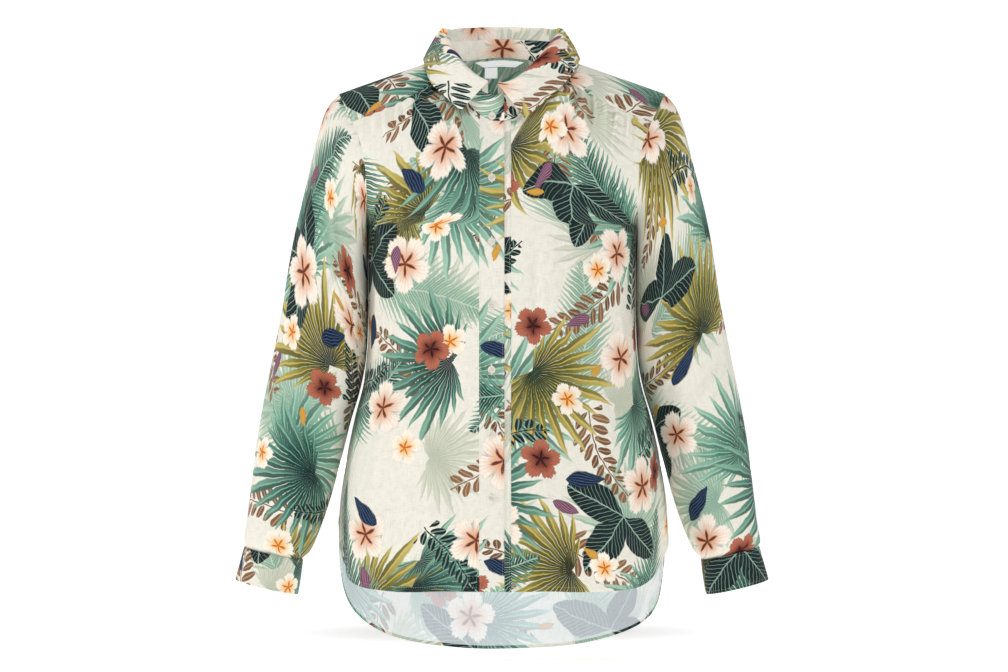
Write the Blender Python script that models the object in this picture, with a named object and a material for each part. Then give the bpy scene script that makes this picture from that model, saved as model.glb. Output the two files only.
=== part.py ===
"""Long-sleeved shirt tunic, filled out as it is when worn, with no wearer.

Frame: +Z up, the front faces -Y, +X is the wearer's left. The origin lies in the middle of the neck
opening, level with the tops of the shoulders, where the wearer carries the garment.
"""

import math
from collections import namedtuple

import bmesh
import bpy
import numpy as np
from mathutils import Matrix, Vector

# ---- cloth and seams -------------------------------------------------------------------------
WALL = 0.0012  # thickness of one layer as built
CUFF_WALL = 0.0015
LABEL_WALL = 0.0010
GAP = 0.0003  # left between two pieces at a seam
SEAM = GAP / 2 + 0.00015  # how far each edge is drawn back from its seam line
LAP = WALL + GAP + 0.0005  # from one layer to the next on top of it, middle to middle
ARMHOLE_CLEAR = (0.0011, 0.0020)  # from a body panel's middle to a sleeve's: shoulder, armpit

# ---- body ------------------------------------------------------------------------------------
ROUNDNESS = 2.4  # exponent of the level sections: 2 is an ellipse
ARMPIT_Z = -0.2155
SIDE_HEM_Z = -0.578  # lower end of the side seams
FRONT_HEM_Z = -0.653
BACK_HEM_Z = -0.747
CENTRE_X = -0.011  # the buttons stand a little to the wearer's right
FRONT_HEM_LEVEL = 0.5  # share of the front's half width over which its hem is level
FRONT_HEM_POWER = 1.9  # of its rise from there to the side seam
BACK_HEM_RISE = ((0.56, 2), (0.44, 10))  # share of the rise, and the power it follows

Section = namedtuple("Section", "z half_width front_depth back_depth")
BODY = [
    Section(-0.760, 0.199, 0.140, 0.142),
    Section(-0.620, 0.201, 0.137, 0.136),
    Section(-0.560, 0.199, 0.134, 0.130),
    Section(-0.500, 0.191, 0.131, 0.121),
    Section(-0.450, 0.181, 0.129, 0.114),
    Section(-0.400, 0.169, 0.127, 0.109),
    Section(-0.340, 0.164, 0.126, 0.107),
    Section(-0.260, 0.164, 0.127, 0.110),
    Section(ARMPIT_Z, 0.1665, 0.126, 0.112),
    Section(-0.190, 0.187, 0.126, 0.112),
    Section(-0.160, 0.209, 0.126, 0.112),
    Section(-0.120, 0.225, 0.126, 0.110),
    Section(-0.050, 0.230, 0.126, 0.108),
]

# Broad soft folds: where round the body, how far out, and from where down to where they grow.
# The angle is 0 at the centre front, 90 at a side seam and 180 at the centre back.
Fold = namedtuple("Fold", "angle half_width depth top_z")
FOLDS = [
    Fold(-52, 20, 0.0035, -0.36),
    Fold(-24, 15, -0.0025, -0.40),
    Fold(30, 17, -0.0025, -0.42),
    Fold(57, 18, 0.0035, -0.34),
    Fold(116, 20, 0.0050, -0.30),
    Fold(141, 16, -0.0040, -0.26),
    Fold(163, 17, 0.0050, -0.24),
    Fold(190, 17, -0.0040, -0.28),
    Fold(216, 18, 0.0050, -0.25),
    Fold(243, 18, -0.0030, -0.33),
]

# ---- shoulders and yoke ----------------------------------------------------------------------
RIDGE_Z = -0.006  # top of the shoulder beside the neck
RIDGE_X = 0.070
SHOULDER_X = 0.200
RIDGE_FALL = 0.35  # drop of the shoulder for each metre outwards
NAPE_Z = 0.0225  # where the shoulder lines would meet behind the neck
NECK_DIP = 0.066  # how far the front falls away below the neck
NECK_DIP_X = 0.085
FRONT_ARCH_Z = -0.235  # the shoulders' curve begins here
BACK_ARCH_Z = -0.200
FRONT_ARCH = (1.7, 2.1)  # exponents of that curve beside the neck and at SHOULDER_X
BACK_ARCH = (2.0, 2.1)
YOKE_FRONT_Z = -0.089  # where the yoke seams meet the armholes
YOKE_BACK_Z = -0.105
YOKE_SEAM_BOW = math.radians(-3.5)  # by which the front yoke seams bow down
YOKE_BOW_START = 0.75  # share of YOKE_CORNER where the rays of the yoke begin to bow too

Armhole = namedtuple("Armhole", "z front_x back_x")
ARMHOLE = [
    Armhole(ARMPIT_Z, 0.1665, 0.1665),
    Armhole(-0.205, 0.1650, 0.1670),
    Armhole(-0.180, 0.1630, 0.1680),
    Armhole(-0.150, 0.1645, 0.1710),
    Armhole(-0.120, 0.1700, 0.1770),
    Armhole(-0.090, 0.1812, 0.1860),
    Armhole(-0.070, 0.1910, 0.1940),
    Armhole(-0.0508, 0.2003, 0.2003),
]

# ---- neck and collar -------------------------------------------------------------------------
NECK_HALF_WIDTH = 0.070
NECK_BACK = 0.050
NECK_FRONT = 0.072
YOKE_CORNER = math.radians(123)  # round the neck from the centre back to the front yoke seams
YOKE_BACK_TURN = math.radians(62)  # to the ray that meets the back yoke seam's end
YOKE_SIDE_TURN = math.radians(95)  # to the ray along the top of the shoulder
CENTRE_REACH = 6  # power by which the shift to CENTRE_X fades towards the back
STAND_LEAN = 0.93  # the top of the stand against its seam, in plan
STAND_FOOT = WALL / 2 + GAP + 0.0006  # the stand begins this far above its seam line
LEAF_FOOT = WALL / 2 + GAP + 0.0010  # the leaf begins this far above the stand's middle
LEAF_END = math.radians(175)
LEAF_FOLD = ((0.0045, -0.0006), (0.0085, 0.0020))  # out and down over the fold
LEAF_ROLL_OUT = 0.0025  # the fold stands this far outside the stand
LEAF_BOW = 0.0015  # the falling part swells outwards by this much

# Round the neck, in degrees from the centre back: height of the stand, and how far the leaf
# rises above it before it falls.
Collar = namedtuple("Collar", "turn stand roll")
COLLAR = [
    Collar(0, 0.0235, 0.0120),
    Collar(60, 0.0225, 0.0115),
    Collar(95, 0.0215, 0.0110),
    Collar(135, 0.0270, 0.0120),
    Collar(195, 0.0350, 0.0130),
]

# Outer edge of the leaf: along is 0 at the centre back and 1 at a point, over is the angle
# across the shoulder (positive behind), lift the height above the cloth below it.
LeafEdge = namedtuple("LeafEdge", "along x over lift")
LEAF_EDGE = [
    LeafEdge(0.00, 0.0000, 38, 0.011),
    LeafEdge(0.25, 0.0590, 31, 0.011),
    LeafEdge(0.42, 0.0880, 16, 0.008),
    LeafEdge(0.53, 0.0945, -2, 0.006),
    LeafEdge(0.66, 0.0895, -21, 0.006),
    LeafEdge(0.78, 0.0795, -31, 0.006),
    LeafEdge(0.90, 0.0600, -37, 0.006),
    LeafEdge(1.00, 0.0400, -41, 0.007),
]

# ---- placket and buttons ---------------------------------------------------------------------
BAND_WIDTH = 0.030
BAND_RIGHT_EDGE = 0.003  # the upper band's free edge
UNDER_RIGHT_EDGE = 0.011  # seam of the lower band
LEVEL_REACH = 0.06  # beside the upper band the right front sinks back over this width
BUTTON_RADIUS = 0.0046
BUTTON_THICK = 0.0022
BUTTON_SEAT = GAP + 0.0001  # from the cloth's face to a button's back
BUTTON_SIDES = 12
BUTTON_COUNT = 7
FIRST_BUTTON_Z = -0.0835
BUTTON_PITCH = 0.0764

# Half section of a button, in shares of its radius and thickness: a disc with a raised rim.
RimPoint = namedtuple("RimPoint", "radius height")
BUTTON_PROFILE = [
    RimPoint(0.00, 0.00),
    RimPoint(1.00, 0.00),
    RimPoint(1.00, 0.55),
    RimPoint(0.86, 1.00),
    RimPoint(0.62, 0.72),
    RimPoint(0.00, 0.72),
]

# ---- sleeves and cuffs -----------------------------------------------------------------------
# One row for each ring: its outer and inner ends seen from the front, its half depth, how far
# its front and back are drawn in towards the body, and how far it lies forward.
Ring = namedtuple("Ring", "outer_x outer_z inner_x inner_z half_depth draw forward")
SLEEVE = [
    Ring(0.2150, -0.0700, 0.1688, -0.2400, 0.0795, 0.0150, 0.000),
    Ring(0.2278, -0.1080, 0.1690, -0.2680, 0.0780, 0.0090, 0.000),
    Ring(0.2385, -0.1560, 0.1690, -0.3000, 0.0750, 0.0040, 0.001),
    Ring(0.2480, -0.2060, 0.1690, -0.3300, 0.0715, 0.0010, 0.002),
    Ring(0.2580, -0.2580, 0.1695, -0.3600, 0.0680, 0.0000, 0.003),
    Ring(0.2690, -0.3130, 0.1710, -0.3880, 0.0645, 0.0000, 0.005),
    Ring(0.2800, -0.3690, 0.1765, -0.4180, 0.0615, 0.0000, 0.008),
    Ring(0.2910, -0.4240, 0.1855, -0.4520, 0.0590, 0.0000, 0.012),
    Ring(0.3010, -0.4820, 0.1975, -0.5020, 0.0565, 0.0000, 0.016),
    Ring(0.3075, -0.5380, 0.2115, -0.5530, 0.0520, 0.0000, 0.020),
    Ring(0.3125, -0.5780, 0.2255, -0.5930, 0.0470, 0.0000, 0.023),
    Ring(0.3150, -0.5960, 0.2345, -0.6120, 0.0420, 0.0000, 0.024),
    Ring(0.3137, -0.6046, 0.2440, -0.6206, 0.0345, 0.0000, 0.025),
]
CUFF = [
    Ring(0.3141, -0.6057, 0.2436, -0.6217, 0.0350, 0.0000, 0.025),
    Ring(0.3195, -0.6260, 0.2463, -0.6430, 0.0362, 0.0000, 0.026),
    Ring(0.3250, -0.6460, 0.2495, -0.6640, 0.0375, 0.0000, 0.027),
]
CUFF_BUTTON_TURN = math.radians(62)  # from the outer side of the wrist towards the back

# ---- label -----------------------------------------------------------------------------------
LABEL_X = -0.003
LABEL_START = 0.002  # below the neck seam
LABEL_SINK = WALL / 2 + LABEL_WALL / 2 + GAP + 0.0008  # inside the yoke, middle to middle
LABEL_TOP_WIDTH = 0.062
LABEL_BOTTOM_WIDTH = 0.040
LABEL_HEIGHT = 0.011
TAB_DROP = 0.0015  # between the label and the tab
TAB_WIDTH = 0.016
TAB_HEIGHT = 0.017
TAB_X = -0.014
NAPE_CURL = 0.17  # metres down the back for each radian over the ridge, beside the neck

# ---- how finely each piece is divided --------------------------------------------------------
LOWER_ROWS = 11  # hem to armpit
ARM_FRONT_STEPS = (3, 6)  # along the armhole's front: yoke, panel
ARM_BACK_STEPS = (4, 6)
YOKE_RINGS = 5  # neck to armhole
YOKE_BACK_COLUMNS = 6  # centre back to armhole along the back yoke seam
NECK_COLUMNS = 4  # front yoke seam to placket
BACK_COLUMNS = 9  # centre back to side seam
STAND_ROWS = 3
LEAF_COLUMNS = 14  # centre back to a point
LEAF_FALLS = (0.33, 0.66, 1.0)  # shares of the way from the fold to the edge
BAND_COLUMNS = 4
LABEL_COLUMNS = 6
LABEL_ROWS = 2
NEAR = 0.002  # step over which slopes are taken

PRINT = ("printed_cloth", (0.80, 0.78, 0.69), 0.75)
LABEL_CLOTH = ("label_tape", (0.90, 0.90, 0.90), 0.60)
PEARL = ("pearl_resin", (0.86, 0.84, 0.78), 0.25)


# ---- reading the tables ----------------------------------------------------------------------
def value(table, key, column, at):
    """A column of a table between its rows, on a cubic that never overshoots them."""
    rows = sorted(table, key=lambda row: getattr(row, key))
    places = np.array([getattr(row, key) for row in rows])
    values = np.array([getattr(row, column) for row in rows])
    at = float(np.clip(at, places[0], places[-1]))
    steps = np.diff(places)
    rises = np.diff(values) / steps
    slopes = np.zeros(len(rows))
    slopes[0], slopes[-1] = rises[0], rises[-1]
    for i in range(1, len(rows) - 1):
        if rises[i - 1] * rises[i] > 0:
            slopes[i] = 2 / (1 / rises[i - 1] + 1 / rises[i])
    i = min(int(np.searchsorted(places, at, "right")), len(steps)) - 1
    step, t = steps[i], (at - places[i]) / steps[i]
    start = (2 * t**3 - 3 * t**2 + 1) * values[i] + (t**3 - 2 * t**2 + t) * step * slopes[i]
    end = (3 * t**2 - 2 * t**3) * values[i + 1] + (t**3 - t**2) * step * slopes[i + 1]
    return start + end


def ease(t):
    """0 to 1 with no jerk at either end."""
    t = min(max(t, 0.0), 1.0)
    return t * t * (3 - 2 * t)


def mix(a, b, t):
    return a + (b - a) * t


def frontness(turn):
    """0 at the centre back of the neck, 1 at the centre front."""
    return (1 - math.cos(turn)) / 2


def find(wanted, function, low, high):
    """Where a rising function reaches the wanted value."""
    for _ in range(40):
        middle = (low + high) / 2
        if function(middle) < wanted:
            low = middle
        else:
            high = middle
    return (low + high) / 2


# ---- the form that the cloth follows ---------------------------------------------------------
def ridge_z(x, front):
    """Height of the shoulder line, or in front of the neck of the cloth's own line."""
    line = RIDGE_Z - RIDGE_FALL * (abs(x) - RIDGE_X)
    if abs(x) < RIDGE_X:
        t = abs(x) / RIDGE_X
        line = mix(NAPE_Z, RIDGE_Z, ease(t)) - (t**3 - t**2) * RIDGE_FALL * RIDGE_X
    return line - NECK_DIP * (1 - ease(abs(x) / NECK_DIP_X)) if front else line


def arch(x, front):
    """Exponent and lower end of the curve over the shoulder at this x."""
    near, far = FRONT_ARCH if front else BACK_ARCH
    exponent = mix(near, far, ease((abs(x) - RIDGE_X) / (SHOULDER_X - RIDGE_X)))
    return exponent, FRONT_ARCH_Z if front else BACK_ARCH_Z


def fold_lift(x, y, z):
    """How far the broad folds stand out at this place."""
    angle = math.degrees(math.atan2(x, -y)) % 360
    lift = 0.0
    for fold in FOLDS:
        away = abs((angle - fold.angle + 180) % 360 - 180) / fold.half_width
        if away < 1:
            grown = ease((fold.top_z - z) / (fold.top_z - SIDE_HEM_Z))
            lift += fold.depth * grown * (1 + math.cos(math.pi * away)) / 2
    return lift


def depth(x, z, front):
    """How far the cloth lies in front of or behind y = 0 at this x and z."""
    wide = min(abs(x) / value(BODY, "z", "half_width", z), 1.0)
    level = (1 - wide**ROUNDNESS) ** (1 / ROUNDNESS)
    exponent, start = arch(x, front)
    rise = (z - start) / (ridge_z(x, front) - start)
    over = (1 - min(max(rise, 0.0), 1.0) ** exponent) ** (1 / exponent)
    return value(BODY, "z", "front_depth" if front else "back_depth", z) * level * over


def body_point(x, z, front):
    """Point of the body's cloth at this x and z."""
    y = depth(x, z, front) * (-1 if front else 1)
    broad = value(BODY, "z", "half_width", z)
    deep = value(BODY, "z", "front_depth", z)
    out = Vector((x / broad, y / deep, 0)).normalized()
    return np.array([x, y, z]) + np.array(out) * fold_lift(x, y, z)


def lifted(x, z, front, lift):
    """Point moved out square to the cloth by lift."""
    if lift == 0:
        return body_point(x, z, front)
    across = body_point(x + NEAR, z, front) - body_point(x - NEAR, z, front)
    up = body_point(x, z + NEAR, front) - body_point(x, z - NEAR, front)
    out = np.cross(across, up) * (1 if front else -1)
    return body_point(x, z, front) + out / np.linalg.norm(out) * lift


def over_point(x, over):
    """Point of the shoulders at this x and this angle over the ridge, in front if negative."""
    front = over < 0
    exponent, start = arch(x, front)
    z = start + (ridge_z(x, front) - start) * abs(math.cos(over)) ** (2 / exponent)
    return body_point(x, z, front)


def over_angle(x, z, front):
    """The angle over the ridge at which the shoulders have this height."""
    exponent, start = arch(x, front)
    rise = (z - start) / (ridge_z(x, front) - start)
    return math.acos(min(rise, 1.0) ** (exponent / 2)) * (-1 if front else 1)


def out_of(x, over):
    """Outward direction on the shoulders."""
    across = over_point(x + 2 * NEAR, over) - over_point(x - 2 * NEAR, over)
    along = over_point(x, over + 10 * NEAR) - over_point(x, over - 10 * NEAR)
    normal = np.cross(across, along)
    return normal / np.linalg.norm(normal)


# ---- seam lines ------------------------------------------------------------------------------
def neck(turn):
    """(x, angle over the ridge) of the neck seam, at a turn from the centre back."""
    x = NECK_HALF_WIDTH * math.sin(turn) + CENTRE_X * frontness(turn) ** CENTRE_REACH
    y = math.cos(turn) * (NECK_BACK if math.cos(turn) > 0 else NECK_FRONT)
    over = find(y, lambda angle: over_point(x, angle)[1], -1.3, 1.3)
    return x, over


def neck_turn(x):
    """The turn at which the front of the neck seam passes this x."""
    return find(0, lambda turn: x - neck(turn)[0], math.pi / 2, 1.5 * math.pi)


def armhole_x(z, front):
    return value(ARMHOLE, "z", "front_x" if front else "back_x", z)


def armhole_heights(front):
    """Heights along one side of the armhole, from the shoulder to the armpit."""
    top, seam = ARMHOLE[-1].z, YOKE_FRONT_Z if front else YOKE_BACK_Z
    middle, half = (top + ARMPIT_Z) / 2, (top - ARMPIT_Z) / 2
    seam_turn = math.acos((seam - middle) / half)
    upper, lower = ARM_FRONT_STEPS if front else ARM_BACK_STEPS
    turns = list(np.linspace(0, seam_turn, upper + 1))
    turns += list(np.linspace(seam_turn, math.pi, lower + 1))[1:]
    return [middle + half * math.cos(turn) for turn in turns], turns


def armhole_point(side, z, front):
    return body_point(side * armhole_x(z, front), z, front)


def front_seam(side, share):
    """(x, angle) along the front yoke seam, from the neck to the armhole."""
    start_x, start_over = neck(side * YOKE_CORNER)
    end_x = side * armhole_x(YOKE_FRONT_Z, True)
    end_over = over_angle(end_x, YOKE_FRONT_Z, True)
    bow = YOKE_SEAM_BOW * 4 * share * (1 - share)
    return mix(start_x, end_x, share), mix(start_over, end_over, share) + bow


# ---- making solids ---------------------------------------------------------------------------
def material(look):
    name, colour, roughness = look
    made = bpy.data.materials.get(name) or bpy.data.materials.new(name)
    made.use_nodes = True
    shader = made.node_tree.nodes["Principled BSDF"]
    shader.inputs["Base Color"].default_value = (*colour, 1)
    shader.inputs["Roughness"].default_value = roughness
    return made


def cloth(name, rows, look=PRINT, closed=False, wall=WALL, shift=(0, 0, 0)):
    """A sheet through rows of points, given a wall; closed joins each row's ends."""
    mesh = bpy.data.meshes.new(name)
    sheet = bmesh.new()
    grid = [[sheet.verts.new(np.array(point) + shift) for point in row] for row in rows]
    for lower, upper in zip(grid, grid[1:]):
        count = len(lower)
        for i in range(count if closed else count - 1):
            j = (i + 1) % count
            sheet.faces.new((lower[i], lower[j], upper[j], upper[i]))
    sheet.to_mesh(mesh)
    sheet.free()
    piece = bpy.data.objects.new(name, mesh)
    bpy.context.scene.collection.objects.link(piece)
    piece.data.materials.append(material(look))
    thicken = piece.modifiers.new("wall", "SOLIDIFY")
    thicken.thickness = wall
    thicken.offset = 0
    thicken.use_even_offset = True
    mesh.shade_smooth()
    return piece


def button(name, place, out):
    """A turned disc, its back centre at place."""
    mesh = bpy.data.meshes.new(name)
    disc = bmesh.new()
    points = [
        disc.verts.new((rim.radius * BUTTON_RADIUS, 0, rim.height * BUTTON_THICK))
        for rim in BUTTON_PROFILE
    ]
    edges = [disc.edges.new(pair) for pair in zip(points, points[1:])]
    bmesh.ops.spin(
        disc, geom=points + edges, cent=(0, 0, 0), axis=(0, 0, 1),
        angle=math.tau, steps=BUTTON_SIDES, use_merge=True,
    )
    bmesh.ops.remove_doubles(disc, verts=disc.verts, dist=1e-6)
    bmesh.ops.recalc_face_normals(disc, faces=disc.faces)
    disc.to_mesh(mesh)
    disc.free()
    piece = bpy.data.objects.new(name, mesh)
    bpy.context.scene.collection.objects.link(piece)
    piece.data.materials.append(material(PEARL))
    turn = Vector(out).to_track_quat("Z", "Y").to_matrix().to_4x4()
    piece.matrix_world = Matrix.Translation(Vector(place)) @ turn
    return piece


# ---- fronts and placket ----------------------------------------------------------------------
def front_hem(share):
    """Height of the front hem at a share of the way from the middle to the side seam."""
    rise = max(share - FRONT_HEM_LEVEL, 0) / (1 - FRONT_HEM_LEVEL)
    return mix(FRONT_HEM_Z, SIDE_HEM_Z, rise**FRONT_HEM_POWER)


def back_hem(share):
    rise = sum(part * share**power for part, power in BACK_HEM_RISE)
    return mix(BACK_HEM_Z, SIDE_HEM_Z, rise)


def turn_at(x, z):
    """The angle round a level section whose x this is: 0 in the middle, a right angle at the side."""
    share = min(abs(x) / value(BODY, "z", "half_width", z), 1.0)
    return math.asin(share ** (ROUNDNESS / 2))


def x_at(turn, z):
    return value(BODY, "z", "half_width", z) * math.sin(turn) ** (2 / ROUNDNESS)


def top_edge_columns(side, edge):
    """x of each column at the top edge of a front: along the neck, then along the yoke seam."""
    turns = np.linspace(neck_turn(edge) * side, side * YOKE_CORNER, NECK_COLUMNS + 1)
    if side < 0:
        turns = np.linspace(neck_turn(edge) - math.tau, -YOKE_CORNER, NECK_COLUMNS + 1)
    columns = [neck(turn) for turn in turns]
    columns += [front_seam(side, i / YOKE_RINGS) for i in range(1, YOKE_RINGS + 1)]
    return [(abs(x), over_point(x, over)[2]) for x, over in columns]


def upper_shares():
    """Shares of the way up from the armpit to the top edge, for the fronts' upper rows."""
    heights = armhole_heights(True)[0][ARM_FRONT_STEPS[0]:]
    return [(z - ARMPIT_Z) / (YOKE_FRONT_Z - ARMPIT_Z) for z in reversed(heights)]


def front_lift(side, x):
    """The right front lies level with the upper band beside it, and sinks back away from it."""
    return LAP * (1 - ease((abs(x) - BAND_WIDTH) / LEVEL_REACH)) if side < 0 else 0.0


def front_rows(side, edge):
    """Rows of a front from its hem up, each from the placket to the side seam or armhole."""
    inner = abs(edge)
    columns = top_edge_columns(side, edge)
    arm_top = armhole_x(YOKE_FRONT_Z, True)
    pit_half = value(BODY, "z", "half_width", ARMPIT_Z)
    first = turn_at(inner, ARMPIT_Z)
    shares, reaches = [], []
    for top_x, _ in columns:
        reach = (top_x - inner) / (arm_top - inner)
        turn = turn_at(mix(inner, pit_half, reach), ARMPIT_Z)
        shares.append((turn - first) / (math.pi / 2 - first))
        reaches.append(reach)
    rows = []
    for k in range(LOWER_ROWS):
        row = []
        for share in shares:
            z = mix(front_hem(share), ARMPIT_Z, k / LOWER_ROWS)
            x = x_at(mix(turn_at(inner, z), math.pi / 2, share), z)
            row.append((x, z))
        rows.append(row)
    for share_up in upper_shares():
        arm_z = mix(ARMPIT_Z, YOKE_FRONT_Z, share_up)
        arm = armhole_x(arm_z, True)
        rows.append([
            (mix(inner, arm, reach), mix(ARMPIT_Z, top_z, share_up))
            for reach, (_, top_z) in zip(reaches, columns)
        ])
    return [[lifted(side * x, z, True, front_lift(side, x)) for x, z in row] for row in rows]


def band_rows(left, right, lift):
    """Rows of a placket band between two x, in step with the fronts' rows."""
    places = np.linspace(left, right, BAND_COLUMNS + 1)
    columns = [(x, over_point(*neck(neck_turn(x)))[2]) for x in places]
    rows = []
    for k in range(LOWER_ROWS):
        z = mix(FRONT_HEM_Z, ARMPIT_Z, k / LOWER_ROWS)
        rows.append([lifted(x, z, True, lift) for x, _ in columns])
    for share in upper_shares():
        rows.append([lifted(x, mix(ARMPIT_Z, top, share), True, lift) for x, top in columns])
    return rows


# ---- back and yoke ---------------------------------------------------------------------------
def back_rows():
    rows = []
    turns = [math.pi / 2 * i / BACK_COLUMNS for i in range(-BACK_COLUMNS, BACK_COLUMNS + 1)]
    for k in range(LOWER_ROWS):
        row = []
        for turn in turns:
            z = mix(back_hem(abs(turn) / (math.pi / 2)), ARMPIT_Z, k / LOWER_ROWS)
            row.append((math.copysign(x_at(abs(turn), z), turn), z))
        rows.append(row)
    pit_half = value(BODY, "z", "half_width", ARMPIT_Z)
    for arm_z in reversed(armhole_heights(False)[0][ARM_BACK_STEPS[0]:]):
        arm = armhole_x(arm_z, False)
        rows.append([
            (math.copysign(x_at(abs(turn), ARMPIT_Z) * arm / pit_half, turn), arm_z)
            for turn in turns
        ])
    return [[body_point(x, z, False) for x, z in row] for row in rows]


def yoke_rays():
    """(turn round the neck, outer x, outer angle) for each ray of the yoke, left to right."""
    back_x = armhole_x(YOKE_BACK_Z, False)
    rays = []
    for i in range(YOKE_BACK_COLUMNS + 1):
        x = back_x * i / YOKE_BACK_COLUMNS
        turn = YOKE_BACK_TURN * i / YOKE_BACK_COLUMNS
        rays.append((turn, x, over_angle(x, YOKE_BACK_Z, False)))
    behind = armhole_heights(False)[0][:ARM_BACK_STEPS[0] + 1]
    for i, z in enumerate(reversed(behind[:-1]), 1):
        turn = mix(YOKE_BACK_TURN, YOKE_SIDE_TURN, i / ARM_BACK_STEPS[0])
        x = armhole_x(z, False)
        rays.append((turn, x, over_angle(x, z, False)))
    before = armhole_heights(True)[0][:ARM_FRONT_STEPS[0] + 1]
    for i, z in enumerate(before[1:], 1):
        turn = mix(YOKE_SIDE_TURN, YOKE_CORNER, i / ARM_FRONT_STEPS[0])
        x = armhole_x(z, True)
        rays.append((turn, x, over_angle(x, z, True)))
    left = [(-turn, -x, over) for turn, x, over in reversed(rays[1:])]
    return left + rays


def yoke_rows():
    """Rows of the yoke, each from the neck out to the armhole or the back yoke seam."""
    rows = []
    for turn, outer_x, outer_over in yoke_rays():
        inner_x, inner_over = neck(turn)
        bowing = max(abs(turn) / YOKE_CORNER - YOKE_BOW_START, 0) / (1 - YOKE_BOW_START)
        row = []
        for i in range(YOKE_RINGS + 1):
            share = i / YOKE_RINGS
            bow = YOKE_SEAM_BOW * bowing * 4 * share * (1 - share)
            over = mix(inner_over, outer_over, share) + bow
            row.append(over_point(mix(inner_x, outer_x, share), over))
        rows.append(row)
    return rows


# ---- collar ----------------------------------------------------------------------------------
def stand_turns():
    """Turns of the stand's columns, from its upper end at the front round to its under end."""
    top_band = np.linspace(BAND_RIGHT_EDGE, BAND_RIGHT_EDGE - BAND_WIDTH, BAND_COLUMNS + 1)
    under_band = np.linspace(UNDER_RIGHT_EDGE, UNDER_RIGHT_EDGE - BAND_WIDTH, BAND_COLUMNS + 1)
    right = [neck_turn(x) - math.tau for x in top_band]
    right += list(np.linspace(right[-1], -YOKE_CORNER, NECK_COLUMNS + 1))[1:]
    left = [neck_turn(x) for x in under_band]
    left = list(np.linspace(YOKE_CORNER, left[0], NECK_COLUMNS + 1))[1:] + left[1:]
    return right + [ray[0] for ray in yoke_rays()][1:] + left


def stand_point(turn, up):
    """Point of the stand: up is 0 at the neck seam and 1 at its top edge."""
    x, over = neck(turn)
    seam = over_point(x, over)
    centre = np.array([CENTRE_X * frontness(turn) ** CENTRE_REACH, 0, 0])
    top = centre + (seam - centre) * (STAND_LEAN, STAND_LEAN, 1)
    top[2] += value(COLLAR, "turn", "stand", abs(math.degrees(turn)))
    if turn < -math.pi / 2:
        lift = front_lift(-1, x if x < 0 else 0)
        seam = seam + out_of(x, over) * lift
        top = top + np.array([math.sin(turn), math.cos(turn), 0]) * lift
    return mix(seam, top, up)


def stand_rows():
    rows = []
    for turn in stand_turns():
        height = np.linalg.norm(stand_point(turn, 1) - stand_point(turn, 0))
        shares = np.linspace(STAND_FOOT / height, 1, STAND_ROWS + 1)
        rows.append([stand_point(turn, share) for share in shares])
    return rows


def leaf_rows():
    """Rows of the leaf: up from the stand, over the fold and down to its outer edge."""
    rows = []
    for i in range(-LEAF_COLUMNS, LEAF_COLUMNS + 1):
        along = i / LEAF_COLUMNS
        side = -1 if along < 0 else 1
        turn = along * LEAF_END
        radial = np.array([math.sin(turn), math.cos(turn), 0])
        foot = stand_point(turn, 1) + (0, 0, LEAF_FOOT)
        roll = value(COLLAR, "turn", "roll", abs(math.degrees(turn)))
        fold = foot + (0, 0, roll) + radial * LEAF_ROLL_OUT
        x = side * value(LEAF_EDGE, "along", "x", abs(along))
        x += CENTRE_X * frontness(turn) ** CENTRE_REACH
        over = math.radians(value(LEAF_EDGE, "along", "over", abs(along)))
        lift = value(LEAF_EDGE, "along", "lift", abs(along))
        edge = over_point(x, over) + out_of(x, over) * lift
        row = [foot, mix(foot, fold, 0.55), fold]
        for out, down in LEAF_FOLD:
            row.append(fold + radial * out - (0, 0, down))
        shoulder = row[-1]
        for share in LEAF_FALLS:
            bow = radial * LEAF_BOW * math.sin(math.pi * share)
            row.append(mix(shoulder, edge, share) + bow)
        rows.append(row)
    return rows


# ---- sleeves and cuffs -----------------------------------------------------------------------
def ring_turns():
    """Turns round a sleeve's ring: 0 on top, then down the back, and up the front."""
    back = armhole_heights(False)[1]
    front = armhole_heights(True)[1]
    return back + [math.tau - turn for turn in reversed(front[1:-1])]


def ring_points(side, ring):
    middle = np.array([ring.outer_x + ring.inner_x, 0, ring.outer_z + ring.inner_z]) / 2
    half = np.array([ring.outer_x - ring.inner_x, 0, ring.outer_z - ring.inner_z]) / 2
    points = []
    for turn in ring_turns():
        point = middle + half * math.cos(turn)
        point[1] = ring.half_depth * math.sin(turn) - ring.forward
        point[0] -= ring.draw * math.sin(turn) ** 2
        points.append(point * (side, 1, 1))
    return points


def sleeve_rows(side):
    """Rings of a sleeve, from the armhole's own curve down to its gathered lower end."""
    back, front = armhole_heights(False)[0], armhole_heights(True)[0]
    places = [(z, False) for z in back] + [(z, True) for z in reversed(front[1:-1])]
    seam = []
    for (z, is_front), turn in zip(places, ring_turns()):
        clear = mix(*ARMHOLE_CLEAR, (1 - math.cos(turn)) / 2)
        seam.append(armhole_point(side, z, is_front) + (side * clear, 0, 0))
    return [seam] + [ring_points(side, ring) for ring in SLEEVE]


def cuff_rows(side):
    return [ring_points(side, ring) for ring in CUFF]


def cuff_button(side):
    """Back centre and outward direction of a cuff's button, on the cuff's outer face."""
    top, middle, bottom = cuff_rows(side)
    i = sum(turn < CUFF_BUTTON_TURN for turn in ring_turns()) - 1
    place = (middle[i] + middle[i + 1]) / 2
    out = np.cross(middle[i + 1] - middle[i], bottom[i] - top[i])
    out *= np.sign(np.dot(out, place - np.mean(middle, axis=0))) / np.linalg.norm(out)
    return place + out * (CUFF_WALL / 2 + BUTTON_SEAT), out


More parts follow.
